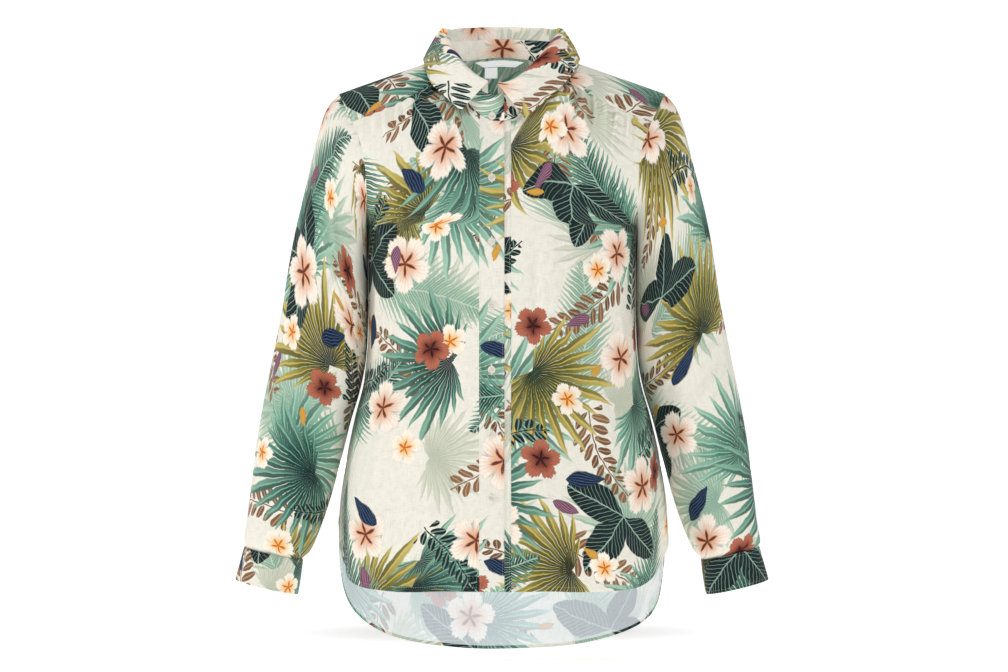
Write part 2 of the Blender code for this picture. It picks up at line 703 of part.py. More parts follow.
def front_button(column, z):
    """Back centre and outward direction of a button at this height on a column of cloth."""
    column = sorted(column, key=lambda point: point[2])
    i = sum(point[2] < z for point in column) - 1
    lower, upper = column[i], column[i + 1]
    place = mix(lower, upper, (z - lower[2]) / (upper[2] - lower[2]))
    out = np.cross(upper - lower, (-1, 0, 0))
    out *= -np.sign(out[1]) / np.linalg.norm(out)
    return place + out * (WALL / 2 + BUTTON_SEAT), out


# ---- label -----------------------------------------------------------------------------------
def label_rows(top_width, bottom_width, start, height, centre):
    """Rows of a tape inside the back of the yoke, start metres below the neck seam."""
    _, neck_over = neck(0)
    rows = []
    for k in range(LABEL_ROWS + 1):
        share = k / LABEL_ROWS
        half = mix(top_width, bottom_width, share) / 2
        over = neck_over + (start + height * share) / NAPE_CURL
        places = np.linspace(centre - half, centre + half, LABEL_COLUMNS + 1)
        rows.append([over_point(x, over) - out_of(x, over) * LABEL_SINK for x in places])
    return rows


def main():
    for old in list(bpy.data.objects):
        bpy.data.objects.remove(old)

    band_left = BAND_RIGHT_EDGE - BAND_WIDTH
    band = band_rows(band_left, BAND_RIGHT_EDGE, LAP)
    drawn_back = (0, -SEAM, -2 * SEAM)
    cloth("front_right", front_rows(-1, band_left - 2 * SEAM), shift=drawn_back)
    cloth("front_left", front_rows(1, UNDER_RIGHT_EDGE + 2 * SEAM), shift=drawn_back)
    cloth("placket_top", band)
    cloth("placket_under", band_rows(UNDER_RIGHT_EDGE - BAND_WIDTH, UNDER_RIGHT_EDGE, 0))
    cloth("back", back_rows(), shift=(0, SEAM, -2 * SEAM))
    cloth("yoke", yoke_rows())
    cloth("collar_stand", stand_rows())
    cloth("collar_leaf", leaf_rows())
    for side, word in ((-1, "right"), (1, "left")):
        cloth("sleeve_" + word, sleeve_rows(side), closed=True)
        cloth("cuff_" + word, cuff_rows(side), closed=True, wall=CUFF_WALL)
        button("cuff_button_" + word, *cuff_button(side))

    stand_column = stand_rows()[BAND_COLUMNS // 2]
    band_column = [row[BAND_COLUMNS // 2] for row in band]
    for number in range(BUTTON_COUNT):
        column = band_column if number else stand_column
        z = FIRST_BUTTON_Z - number * BUTTON_PITCH
        button(f"button_{number + 1}", *front_button(column, z))

    label = label_rows(LABEL_TOP_WIDTH, LABEL_BOTTOM_WIDTH, LABEL_START, LABEL_HEIGHT, LABEL_X)
    cloth("neck_label", label, LABEL_CLOTH, wall=LABEL_WALL)
    tab_start = LABEL_START + LABEL_HEIGHT + TAB_DROP
    tab = label_rows(TAB_WIDTH, TAB_WIDTH, tab_start, TAB_HEIGHT, TAB_X)
    cloth("size_tab", tab, LABEL_CLOTH, wall=LABEL_WALL)


main()
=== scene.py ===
"""Looks of the long-sleeved shirt tunic, filled out as it is when worn, with no wearer.

Metres, +Z up, the front faces -Y, +X is the wearer's left. Each section makes one sewn piece, or a
group of like pieces, in the order in which the shirt is put together.
"""

import math
from collections import namedtuple

import bpy
import numpy as np
from mathutils import Matrix, Vector


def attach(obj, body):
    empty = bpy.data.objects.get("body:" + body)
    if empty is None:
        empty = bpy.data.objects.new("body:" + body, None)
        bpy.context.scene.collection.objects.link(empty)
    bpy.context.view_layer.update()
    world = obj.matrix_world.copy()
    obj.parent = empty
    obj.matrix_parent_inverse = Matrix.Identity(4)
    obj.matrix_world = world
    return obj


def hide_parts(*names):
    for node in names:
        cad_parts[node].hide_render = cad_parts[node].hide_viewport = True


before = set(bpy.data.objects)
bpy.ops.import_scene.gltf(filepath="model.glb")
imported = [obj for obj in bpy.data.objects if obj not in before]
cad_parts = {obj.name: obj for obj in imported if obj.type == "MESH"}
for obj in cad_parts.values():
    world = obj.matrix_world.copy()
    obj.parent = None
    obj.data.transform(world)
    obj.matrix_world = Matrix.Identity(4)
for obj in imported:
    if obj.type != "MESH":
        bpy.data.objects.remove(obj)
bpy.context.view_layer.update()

# ==== Fronts ======================================================================================
# Two panels of light plain-woven viscose. Each is gathered a little into the yoke, turned up and
# stitched along its curved hem, and sewn to the back at the side. The right one carries the band.

# ---- the form they hang in ----
ROUNDNESS = 2.4  # exponent of the level sections: 2 is an ellipse
ARMPIT_Z = -0.2155
SIDE_HEM_Z = -0.578
FRONT_HEM_Z = -0.653
CENTRE_X = -0.011
FRONT_HEM_LEVEL = 0.5  # share of the front's half width over which its hem is level
FRONT_HEM_POWER = 1.9

Section = namedtuple("Section", "z half_width front_depth back_depth")
BODY = [
    Section(-0.760, 0.199, 0.140, 0.142),
    Section(-0.620, 0.201, 0.137, 0.136),
    Section(-0.560, 0.199, 0.134, 0.130),
    Section(-0.500, 0.191, 0.131, 0.121),
    Section(-0.450, 0.181, 0.129, 0.114),
    Section(-0.400, 0.169, 0.127, 0.109),
    Section(-0.340, 0.164, 0.126, 0.107),
    Section(-0.260, 0.164, 0.127, 0.110),
    Section(ARMPIT_Z, 0.1665, 0.126, 0.112),
    Section(-0.190, 0.187, 0.126, 0.112),
    Section(-0.160, 0.209, 0.126, 0.112),
    Section(-0.120, 0.225, 0.126, 0.110),
    Section(-0.050, 0.230, 0.126, 0.108),
]

# Broad soft folds: where round the body in degrees from the centre front, how far to each side,
# how far out, and the height from which they grow downwards.
Fold = namedtuple("Fold", "angle half_width depth top_z")
FOLDS = [
    Fold(-52, 20, 0.0035, -0.36),
    Fold(-24, 15, -0.0025, -0.40),
    Fold(30, 17, -0.0025, -0.42),
    Fold(57, 18, 0.0035, -0.34),
    Fold(116, 20, 0.0050, -0.30),
    Fold(141, 16, -0.0040, -0.26),
    Fold(163, 17, 0.0050, -0.24),
    Fold(190, 17, -0.0040, -0.28),
    Fold(216, 18, 0.0050, -0.25),
    Fold(243, 18, -0.0030, -0.33),
]

RIDGE_Z = -0.006  # top of the shoulder beside the neck
RIDGE_X = 0.070
SHOULDER_X = 0.200
RIDGE_FALL = 0.35  # drop of the shoulder for each metre outwards
NAPE_Z = 0.0225
NECK_DIP = 0.066
NECK_DIP_X = 0.085
FRONT_ARCH_Z = -0.235  # the shoulders' curve begins here
BACK_ARCH_Z = -0.200
FRONT_ARCH = (1.7, 2.1)
BACK_ARCH = (2.0, 2.1)
YOKE_FRONT_Z = -0.089
YOKE_SEAM_BOW = math.radians(-3.5)

Armhole = namedtuple("Armhole", "z front_x back_x")
ARMHOLE = [
    Armhole(ARMPIT_Z, 0.1665, 0.1665),
    Armhole(-0.205, 0.1650, 0.1670),
    Armhole(-0.180, 0.1630, 0.1680),
    Armhole(-0.150, 0.1645, 0.1710),
    Armhole(-0.120, 0.1700, 0.1770),
    Armhole(-0.090, 0.1812, 0.1860),
    Armhole(-0.070, 0.1910, 0.1940),
    Armhole(-0.0508, 0.2003, 0.2003),
]

NECK_HALF_WIDTH = 0.070
NECK_BACK = 0.050
NECK_FRONT = 0.072
YOKE_CORNER = math.radians(123)  # round the neck from the centre back to the front yoke seams
CENTRE_REACH = 6
BAND_WIDTH = 0.030
BAND_RIGHT_EDGE = 0.003
UNDER_RIGHT_EDGE = 0.011
LAP = 0.0016  # from one layer of the placket to the next
LEVEL_REACH = 0.06  # beside the upper band the right front sinks back over this width


def value(table, key, column, at):
    """A column of a table between its rows, on a cubic that never overshoots them."""
    rows = sorted(table, key=lambda row: getattr(row, key))
    places = np.array([getattr(row, key) for row in rows])
    values = np.array([getattr(row, column) for row in rows])
    at = np.clip(at, places[0], places[-1])
    steps = np.diff(places)
    rises = np.diff(values) / steps
    slopes = np.zeros(len(rows))
    slopes[0], slopes[-1] = rises[0], rises[-1]
    for i in range(1, len(rows) - 1):
        if rises[i - 1] * rises[i] > 0:
            slopes[i] = 2 / (1 / rises[i - 1] + 1 / rises[i])
    i = np.minimum(np.searchsorted(places, at, "right"), len(steps)) - 1
    step, t = steps[i], (at - places[i]) / steps[i]
    start = (2 * t**3 - 3 * t**2 + 1) * values[i] + (t**3 - 2 * t**2 + t) * step * slopes[i]
    end = (3 * t**2 - 2 * t**3) * values[i + 1] + (t**3 - t**2) * step * slopes[i + 1]
    return start + end


def ease(t):
    """0 to 1 with no jerk at either end."""
    t = np.clip(t, 0.0, 1.0)
    return t * t * (3 - 2 * t)


def mix(a, b, t):
    return a + (b - a) * t


def find(wanted, function, low, high):
    """Where a rising function reaches each wanted value."""
    low = np.full(np.shape(wanted), float(low))
    high = np.full(np.shape(wanted), float(high))
    for _ in range(40):
        middle = (low + high) / 2
        under = function(middle) < wanted
        low, high = np.where(under, middle, low), np.where(under, high, middle)
    return (low + high) / 2


def ridge_z(x, front):
    """Height of the shoulder line, or in front of the neck of the cloth's own line."""
    t = np.minimum(np.abs(x) / RIDGE_X, 1.0)
    beside = RIDGE_Z - RIDGE_FALL * (np.abs(x) - RIDGE_X)
    behind = mix(NAPE_Z, RIDGE_Z, ease(t)) - (t**3 - t**2) * RIDGE_FALL * RIDGE_X
    dip = np.where(front, NECK_DIP * (1 - ease(np.abs(x) / NECK_DIP_X)), 0.0)
    return np.where(t < 1, behind, beside) - dip


def arch(x, front):
    """Exponent and lower end of the curve over the shoulder at this x."""
    share = ease((np.abs(x) - RIDGE_X) / (SHOULDER_X - RIDGE_X))
    exponent = np.where(front, mix(*FRONT_ARCH, share), mix(*BACK_ARCH, share))
    return exponent, np.where(front, FRONT_ARCH_Z, BACK_ARCH_Z)


def over_share(x, z, front):
    """How far this height is up the curve over the shoulder, and the curve's exponent."""
    exponent, start = arch(x, front)
    return np.clip((z - start) / (ridge_z(x, front) - start), 0.0, 1.0), exponent


def fold_lift(x, y, z):
    """How far the broad folds stand out at this place."""
    angle = np.degrees(np.arctan2(x, -y)) % 360
    lift = 0.0
    for fold in FOLDS:
        away = np.abs((angle - fold.angle + 180) % 360 - 180) / fold.half_width
        grown = ease((fold.top_z - z) / (fold.top_z - SIDE_HEM_Z))
        swell = (1 + np.cos(math.pi * np.minimum(away, 1.0))) / 2
        lift = lift + fold.depth * grown * swell
    return lift


def body_point(x, z, front):
    """Point of the body's cloth at this x and z."""
    x, z = np.broadcast_arrays(np.asarray(x, float), np.asarray(z, float))
    broad = value(BODY, "z", "half_width", z)
    deep = value(BODY, "z", "front_depth", z)
    behind = value(BODY, "z", "back_depth", z)
    level = (1 - np.minimum(np.abs(x) / broad, 1.0) ** ROUNDNESS) ** (1 / ROUNDNESS)
    rise, exponent = over_share(x, z, front)
    over = (1 - rise**exponent) ** (1 / exponent)
    y = np.where(front, -deep, behind) * level * over
    out = np.stack([x / broad, y / deep, 0 * x], axis=-1)
    out /= np.maximum(np.linalg.norm(out, axis=-1, keepdims=True), 1e-9)
    return np.stack([x, y, z], axis=-1) + out * fold_lift(x, y, z)[..., None]


def over_point(x, over):
    """Point of the shoulders at this x and this angle over the ridge, in front if negative."""
    front = np.asarray(over) < 0
    exponent, start = arch(x, front)
    z = start + (ridge_z(x, front) - start) * np.abs(np.cos(over)) ** (2 / exponent)
    return body_point(x, z, front)


def over_angle(x, z, front):
    """The angle over the ridge at which the shoulders have this height."""
    rise, exponent = over_share(x, z, front)
    return np.arccos(rise ** (exponent / 2)) * (-1 if front else 1)


def frontness(turn):
    """0 at the centre back of the neck, 1 at the centre front."""
    return (1 - np.cos(turn)) / 2


def middle_x(turn):
    """x of the middle line, which lies a little to the wearer's right at the centre front."""
    return CENTRE_X * frontness(turn) ** CENTRE_REACH


def neck(turn):
    """(x, angle over the ridge) of the neck seam, at a turn from the centre back."""
    turn = np.asarray(turn, float)
    x = NECK_HALF_WIDTH * np.sin(turn) + middle_x(turn)
    y = np.cos(turn) * np.where(np.cos(turn) > 0, NECK_BACK, NECK_FRONT)
    return x, find(y, lambda angle: over_point(x, angle)[..., 1], -1.3, 1.3)


def neck_turn(x):
    """The turn at which the front of the neck seam passes this x."""
    return float(find(0, lambda turn: x - neck(turn)[0], math.pi / 2, 1.5 * math.pi))


def armhole_x(z, front):
    return np.where(front, value(ARMHOLE, "z", "front_x", z), value(ARMHOLE, "z", "back_x", z))


def front_seam(side, share):
    """(x, angle) along the front yoke seam, from the neck to the armhole."""
    start_x, start_over = neck(side * YOKE_CORNER)
    end_x = side * armhole_x(YOKE_FRONT_Z, True)
    end_over = over_angle(end_x, YOKE_FRONT_Z, True)
    bow = YOKE_SEAM_BOW * 4 * share * (1 - share)
    return mix(start_x, end_x, share), mix(start_over, end_over, share) + bow


def turn_at(x, z):
    """The angle round a level section whose x this is: 0 in the middle, a right angle at the side."""
    share = np.minimum(np.abs(x) / value(BODY, "z", "half_width", z), 1.0)
    return np.arcsin(share ** (ROUNDNESS / 2))


def x_at(turn, z):
    return value(BODY, "z", "half_width", z) * np.sin(turn) ** (2 / ROUNDNESS)


def outward(grid, closed=False):
    """Unit normals of a grid of points whose columns run to the viewer's right and rows upwards."""
    if closed:
        across = np.roll(grid, -1, axis=1) - np.roll(grid, 1, axis=1)
    else:
        across = np.gradient(grid, axis=1)
    out = np.cross(across, np.gradient(grid, axis=0))
    return out / np.maximum(np.linalg.norm(out, axis=-1, keepdims=True), 1e-12)


def run(grid, axis):
    """Distance along a grid's rows or columns from their first point."""
    steps = np.linalg.norm(np.diff(grid, axis=axis), axis=-1)
    start = np.zeros_like(np.take(steps, [0], axis=axis))
    return np.concatenate([start, np.cumsum(steps, axis=axis)], axis=axis)


# ---- small creases ----
# Where on the panel across and along it, how long and wide, how far out (in if negative), how far
# it leans from the panel's length in degrees, and how much it bows.
Crease = namedtuple("Crease", "across along length width depth lean bow")


def creases(*rows):
    """Creases from rows whose sizes are in millimetres."""
    return [Crease(*(size / 1000 for size in row[:5]), *row[5:]) for row in rows]


def pressed(table, across, along, around=None):
    """How far a table's creases lift each point; around is the girth of a closed tube."""
    lift = np.zeros(np.broadcast(across, along).shape)
    for crease in table:
        aside = across - crease.across
        if around is not None:
            aside = (aside + around / 2) % around - around / 2
        lean = math.radians(crease.lean)
        far = (along - crease.along) * math.cos(lean) + aside * math.sin(lean)
        beside = aside * math.cos(lean) - (along - crease.along) * math.sin(lean)
        beside = beside + crease.bow * far**2
        fade = np.clip(1 - (2 * far / crease.length) ** 2, 0, 1) ** 2
        lift = lift + crease.depth * np.exp(-((beside / crease.width) ** 2)) * fade
    return lift


def gathers(seed, start, end, count, length, depth):
    """Creases that run down from a seam, uneven in place, length and depth."""
    chance = np.random.default_rng(seed)
    pitch = (end - start) / count
    rows = []
    for i in range(count):
        place = start + (i + chance.uniform(0.2, 0.8)) * pitch
        long = length * chance.uniform(0.5, 1.3)
        out = depth * chance.uniform(0.4, 1.2) * (1 if i % 2 else -0.8)
        lean = chance.uniform(-6, 6)
        rows.append(Crease(place, 0.0, long, pitch * chance.uniform(0.3, 0.5), out, lean, 0))
    return rows


# ---- the printed cloth ----
class Shade:
    """A socket of a material's nodes; arithmetic on it adds Math nodes."""

    def __init__(self, socket):
        self.socket = socket

    def node(self, kind, settings, inputs, output=0):
        """Another node: its settings are set first, then its sockets by name or number."""
        tree = self.socket.id_data
        made = tree.nodes.new(kind)
        for name, setting in settings.items():
            setattr(made, name, setting)
        for name, given in inputs.items():
            if isinstance(given, Shade):
                tree.links.new(given.socket, made.inputs[name])
            else:
                made.inputs[name].default_value = given
        return Shade(made.outputs[output])

    def output(self, name):
        """Another output of the node that this socket is on."""
        return Shade(self.socket.node.outputs[name])

    def feeds(self, name):
        """Links this socket to one of the material's shader."""
        tree = self.socket.id_data
        tree.links.new(self.socket, tree.nodes["Principled BSDF"].inputs[name])

    def math(self, operation, *values):
        return self.node("ShaderNodeMath", {"operation": operation}, dict(enumerate(values)))

    def vector(self, operation, *values):
        return self.node("ShaderNodeVectorMath", {"operation": operation}, dict(enumerate(values)))

    def noise(self, scale, detail, output=0, **more):
        inputs = {"Vector": self, "Scale": scale, "Detail": detail, **more}
        return self.node("ShaderNodeTexNoise", {}, inputs, output)

    def sign(operation, turned=False):
        """What an arithmetic sign does; turned, this socket is the second value."""
        def method(self, other):
            return self.math(operation, *((other, self) if turned else (self, other)))
        return method

    __add__, __radd__ = sign("ADD"), sign("ADD", True)
    __sub__, __rsub__ = sign("SUBTRACT"), sign("SUBTRACT", True)
    __mul__, __rmul__ = sign("MULTIPLY"), sign("MULTIPLY", True)
    __truediv__, __rtruediv__ = sign("DIVIDE"), sign("DIVIDE", True)
    __pow__, __rpow__ = sign("POWER"), sign("POWER", True)
    __lt__, __gt__ = sign("LESS_THAN"), sign("GREATER_THAN")

    def __abs__(self):
        return self.math("ABSOLUTE", self)

    def either(self, other):
        """The larger of the two."""
        return self.math("MAXIMUM", self, other)

    def clamp(self):
        """Held between 0 and 1."""
        return self.node("ShaderNodeClamp", {}, {0: self})

    def fract(self):
        return self.math("FRACT", self)

    def floor(self):
        return self.math("FLOOR", self)

    def saw(self):
        """0 in the middle of each whole step and 1 at its ends."""
        return abs(self.fract() - 0.5) * 2


def ink(red, green, blue):
    """A linear colour from its display values, 0 to 255."""
    def linear(level):
        level /= 255
        return level / 12.92 if level <= 0.04045 else ((level + 0.055) / 1.055) ** 2.4

    return (linear(red), linear(green), linear(blue), 1.0)


def blend(place, first, second, share):
    """A colour between two colours or sockets."""
    return place.node("ShaderNodeMix", {"data_type": "RGBA"}, {0: share, 6: first, 7: second}, 2)


def scatter(place, pitch, loose, shift):
    """x and y from the middle of the nearest motif, turned at random, and two random numbers."""
    moved = place.vector("ADD", place, (*shift, 0))
    cells = place.node(
        "ShaderNodeTexVoronoi", {"voronoi_dimensions": "2D"},
        {"Vector": moved, "Scale": 1 / pitch, "Randomness": loose}, "Color",
    )
    chance = place.node("ShaderNodeSeparateColor", {}, {0: cells}, 0)
    away = place.vector("SUBTRACT", moved, cells.output("Position"))
    turned = place.node(
        "ShaderNodeVectorRotate", {"rotation_type": "Z_AXIS"},
        {"Vector": away, "Angle": chance * math.tau},
    )
    x = place.node("ShaderNodeSeparateXYZ", {}, {0: turned})
    return x, x.output("Y"), chance.output(1), chance.output(2)


def lot_of(whole, seed):
    """A random number for each whole number, other ones for each motif's seed."""
    inputs = {"W": whole.floor() + seed}
    return whole.node("ShaderNodeTexWhiteNoise", {"noise_dimensions": "1D"}, inputs, "Value")


def polar(x, y):
    """Distance and direction from a motif's middle."""
    return (x * x + y * y) ** 0.5, x.math("ARCTAN2", y, x)


LEAST = 0.0001  # keeps a length that something is divided by above 0
STALK = 0.0008  # half the width of a stalk or midrib
FROND_STALK = 0.0009
BLADES = 4.4  # of a fan, for each radian
FAN_HALF = 2.3  # radians to each side at which a fan ends
LEAFLETS = 125  # of a frond, for each metre
LEAF_ARC = 4.2  # radians over which three broad leaves are spread
SIDE_VEINS = 150  # for each metre
SPRIG_LEAVES = 78  # for each metre


def fan(x, y, first, second, size, deep, tone, pale):
    """A fan palm leaf: long pleated blades from one point, dark at the root and pale at the tips."""
    far, angle = polar(x, y)
    blade = angle * BLADES + first
    lot = lot_of(blade, second * 40)
    length = size * (0.74 + 0.26 * lot) * (1 - (angle / FAN_HALF) ** 4).clamp() + LEAST
    share = far / length
    saw = blade.saw()
    mask = ((((1 - share) * 2.1).clamp() - saw) * 7).clamp() * (share < 1)
    colour = blend(x, deep, tone, (share * 1.9 - 0.15).clamp())
    colour = blend(x, colour, pale, ((share - 0.35) * 1.2 + lot * 0.5 - 0.2).clamp())
    clear = ((share - 0.10) * 4).clamp()
    pleat = (blade.fract() > 0.5) * (0.22 + 0.4 * lot)
    colour = blend(x, colour, deep, pleat.either((saw > 0.86) * 0.55) * clear)
    return mask, blend(x, colour, pale, (saw < 0.15) * clear * 0.72)


def frond(x, y, first, second, size, deep, tone, pale):
    """A feathered frond: narrow leaflets on both sides of a bowed stalk."""
    share = x / size
    bowed = y + (first - 0.5) * 7 * x * x
    side = abs(bowed)
    reach = (1 - share * share).clamp() ** 0.55
    out = side / (size * (0.52 - share * 0.16) * reach + LEAST)
    leaflet = (x - side * 0.85) * LEAFLETS + (bowed > 0) * 0.5
    lot = lot_of(leaflet, second * 60)
    saw = leaflet.saw()
    mask = (((1.3 - out * (0.95 + lot * 0.3)).clamp() - saw) * 4).clamp() * (out < 1)
    stalk = (side < FROND_STALK) * (abs(share) < 0.97)
    colour = blend(x, deep, tone, (out * 0.8 + lot * 0.6 - 0.3).clamp())
    colour = blend(x, colour, pale, (stalk * 0.8).either((saw < 0.16) * 0.5))
    return mask.either(stalk), colour


def leaves(x, y, first, second, size, deep, tone, pale):
    """Broad drooping leaves of uneven length from one stem, with pale curved side veins."""
    far, around = polar(x, y)
    part = around * (3 / LEAF_ARC) + 1.5
    lot = lot_of(part, second * 30)
    angle = (part.fract() - 0.5) * (LEAF_ARC / 3) + (lot - 0.5) * 0.4
    along = far * x.math("COSINE", angle)
    side = abs(far * x.math("SINE", angle))
    share = along / (size * (0.62 + 0.38 * lot))
    width = (share * (1 - share)).clamp() ** 0.62 * (1.12 - share * 0.3) * size * 0.56
    mask = ((width - side) * 900).clamp() * (abs(around) < LEAF_ARC / 2)
    vein = ((along - side * 1.25 + side * side * 11) * SIDE_VEINS).saw()
    lines = (vein < 0.17) * (0.3 + 0.7 * lot)
    colour = blend(x, deep, tone, ((1 - share) * 0.5 + vein * 0.45 - 0.15).clamp())
    return mask, blend(x, colour, pale, (lines * 0.8).either(side < STALK))


def blossom(x, y, first, second, size, heart, flesh, edge):
    """A frilled five-petalled flower: a dark star in the throat, petals that pale outwards."""
    far, angle = polar(x, y)
    lobe = abs(x.math("COSINE", angle * 2.5))
    frill = x.math("SINE", angle * 31 + first * 9) * x.math("SINE", angle * 13 + second * 9)
    share = far / (size * (0.84 + 0.16 * first)) / (0.56 + 0.44 * lobe ** 0.5 + frill * 0.06)
    mask = ((1 - share) * 16).clamp()
    colour = blend(x, flesh, edge, ((share - 0.22) * 2.1).clamp())
    streak = x.math("SINE", angle * 35 + second * 6) * 0.5 + 0.5
    colour = blend(x, colour, flesh, streak * (1.0 - share).clamp() * 0.8)
    fold = ((0.34 - lobe) * 4).clamp() * (share * 1.4 - 0.25).clamp()
    rim = ((share - 0.9) * 9).clamp()
    colour = blend(x, colour, heart, (fold * 0.42).either(rim * 0.3))
    star = ((0.16 + 0.34 * lobe ** 5 - share) * 8).clamp()
    return mask, blend(x, colour, heart, star * 0.94)


def sprig(x, y, first, second, size, deep, tone, pale):
    """A thin bowed stem with small pointed leaves set alternately."""
    share = x / size
    bowed = y + (first - 0.5) * 11 * x * x
    side = abs(bowed)
    step = (x - side * 0.6) * SPRIG_LEAVES + (bowed > 0) * 0.5
    lot = lot_of(step, second * 50)
    width = size * (0.34 - share * 0.14) * (0.6 + 0.5 * lot)
    middle = side / width * 2 - 1.15
    saw = step.saw()
    leaf = 1 - middle * middle - saw * saw * 1.6
    inside = (leaf * 7).clamp() * (abs(share) < 0.9)
    stalk = (side < STALK) * (abs(share) < 1)
    colour = blend(x, deep, tone, (saw * 0.6 + lot * 0.7 - 0.1).clamp())
    return inside.either(stalk), blend(x, colour, pale, (saw < 0.15) * 0.6)


def bud(x, y, first, second, size, deep, tone, pale):
    """A furled bud, pointed at one end."""
    share = x / size
    width = size * 0.42 * (1 - share * share).clamp() ** 0.8 * (1 - share * 0.35) + LEAST
    out = abs(y) / width
    mask = ((1 - out) * 5).clamp() * (abs(share) < 1)
    fold = ((y / width + share * 0.6) * 3).saw()
    colour = blend(x, deep, tone, (fold * 0.8 + (1 - out) * 0.3).clamp())
    return mask, blend(x, colour, pale, (fold > 0.8) * 0.35)


GHOST = ink(190, 196, 176), ink(208, 212, 192), ink(224, 224, 208)
MIST = ink(132, 172, 150), ink(172, 198, 176), ink(204, 216, 196)
SEA = ink(20, 70, 62), ink(98, 162, 138), ink(176, 212, 190)
TEAL = ink(4, 36, 38), ink(40, 98, 86), ink(140, 188, 164)
OLIVE = ink(30, 42, 14), ink(130, 122, 36), ink(216, 196, 112)
FOREST = ink(4, 14, 18), ink(18, 50, 52), ink(150, 180, 164)
PEACH = ink(92, 20, 22), ink(236, 172, 130), ink(252, 243, 230)
AMBER = ink(208, 84, 24), ink(250, 196, 104), ink(253, 247, 234)
RUST = ink(28, 8, 12), ink(106, 36, 28), ink(186, 108, 82)
TAUPE = ink(92, 58, 38), ink(152, 110, 78), ink(204, 174, 140)
MAUVE = ink(84, 34, 52), ink(150, 98, 124), ink(208, 186, 216)
NAVY = ink(8, 16, 36), ink(24, 46, 84), ink(106, 146, 180)
YOLK = ink(184, 116, 28), ink(228, 176, 66), ink(248, 224, 146)
GROUND = ink(241, 238, 226)

# Bottom layer first. The pitch is the distance between motifs, loose how far they stray from an
# even spacing, bare the share of places left empty, and size a motif's reach, in metres.
Layer = namedtuple("Layer", "motif pitch loose bare shift size inks")
LAYERS = [
    Layer(fan, 0.176, 0.25, 0.20, (0.031, 0.012), 0.092, GHOST),
    Layer(frond, 0.190, 0.25, 0.35, (0.420, 0.240), 0.088, MIST),
    Layer(fan, 0.216, 0.25, 0.30, (3.330, 0.550), 0.108, MIST),
    Layer(sprig, 0.150, 0.30, 0.20, (0.770, 0.130), 0.062, TAUPE),
    Layer(fan, 0.224, 0.22, 0.32, (1.210, 0.910), 0.118, SEA),
    Layer(fan, 0.246, 0.22, 0.30, (2.170, 1.330), 0.124, OLIVE),
    Layer(frond, 0.236, 0.25, 0.45, (6.870, 8.330), 0.084, SEA),
    Layer(fan, 0.262, 0.22, 0.46, (9.870, 3.510), 0.122, TEAL),
    Layer(leaves, 0.206, 0.25, 0.35, (4.090, 2.710), 0.092, FOREST),
    Layer(sprig, 0.216, 0.35, 0.35, (9.110, 4.130), 0.050, FOREST),
    Layer(blossom, 0.150, 0.45, 0.28, (5.270, 3.070), 0.037, PEACH),
    Layer(blossom, 0.156, 0.50, 0.25, (6.390, 1.890), 0.022, AMBER),
    Layer(blossom, 0.206, 0.50, 0.35, (7.130, 5.170), 0.025, RUST),
    Layer(bud, 0.176, 0.60, 0.40, (8.530, 2.290), 0.017, MAUVE),
    Layer(bud, 0.206, 0.60, 0.35, (3.910, 7.370), 0.024, NAVY),
    Layer(bud, 0.200, 0.60, 0.30, (1.610, 6.430), 0.011, YOLK),
]


def material(name, constants, uv_map=None):
    """A material whose shader has these constants, and the place that its nodes start from."""
    look = bpy.data.materials.new(name)
    look.use_nodes = True
    nodes = look.node_tree.nodes
    for socket, constant in constants.items():
        nodes["Principled BSDF"].inputs[socket].default_value = constant
    if uv_map is None:
        return look, Shade(nodes.new("ShaderNodeTexCoord").outputs["Object"])
    start = nodes.new("ShaderNodeUVMap")
    start.uv_map = uv_map
    return look, Shade(start.outputs[0])


VISCOSE = {
    "Roughness": 0.72, "Specular IOR Level": 0.22, "Sheen Weight": 0.06, "Sheen Roughness": 0.45,
}
GROUND_SHADED = ink(228, 226, 212)
THREAD_PALE = ink(255, 255, 255)
THREAD_DARK = ink(218, 216, 210)
FADED = ink(234, 239, 246)
RAGGED = 0.006  # how far the motifs' outlines stray
THREAD = 0.00042  # from one thread of the weave to the next
SLUB_STRETCH = ((90, 1900, 1), (1900, 70, 1))  # the uneven threads across and along the cloth


def printed(name):
    """The printed viscose, seen from its right side."""
    look, flat = material(name, VISCOSE, "cut")
    stray = flat.vector("SUBTRACT", flat.noise(55, 2, "Color"), (0.5, 0.5, 0.5))
    place = flat.vector("ADD", flat, flat.vector("MULTIPLY", stray, (RAGGED, RAGGED, RAGGED)))
    wash = flat.noise(120, 3)
    colour = blend(flat, GROUND, GROUND_SHADED, ((wash - 0.45) * 2).clamp())
    for layer in LAYERS:
        x, y, first, second = scatter(place, layer.pitch, layer.loose, layer.shift)
        mask, paint = layer.motif(x, y, first, second, layer.size, *layer.inks)
        colour = blend(flat, colour, paint, mask * (second > layer.bare))
    colour = blend(flat, colour, GROUND, ((wash - 0.5) * 1.3).clamp() * 0.06)
    colour = blend(flat, colour, FADED, 0.0)
    colour.socket.node.name = "fade"
    weft, warp = (flat.vector("MULTIPLY", flat, stretch).noise(1, 1) for stretch in SLUB_STRETCH)
    thread = (weft + warp) * 0.5
    tone = blend(flat, THREAD_PALE, THREAD_DARK, ((0.54 - thread) * 2.6).clamp())
    flat.vector("MULTIPLY", colour, tone).feeds("Base Color")
    axes = flat.node("ShaderNodeSeparateXYZ", {}, {0: flat})
    waves = [flat.math("SINE", axis * (math.tau / THREAD)) for axis in (axes, axes.output("Y"))]
    relief = waves[0] * waves[1] * 0.25 + thread
    bump = {"Height": relief, "Strength": 0.22, "Distance": 0.0003}
    flat.node("ShaderNodeBump", {}, bump).feeds("Normal")
    return look


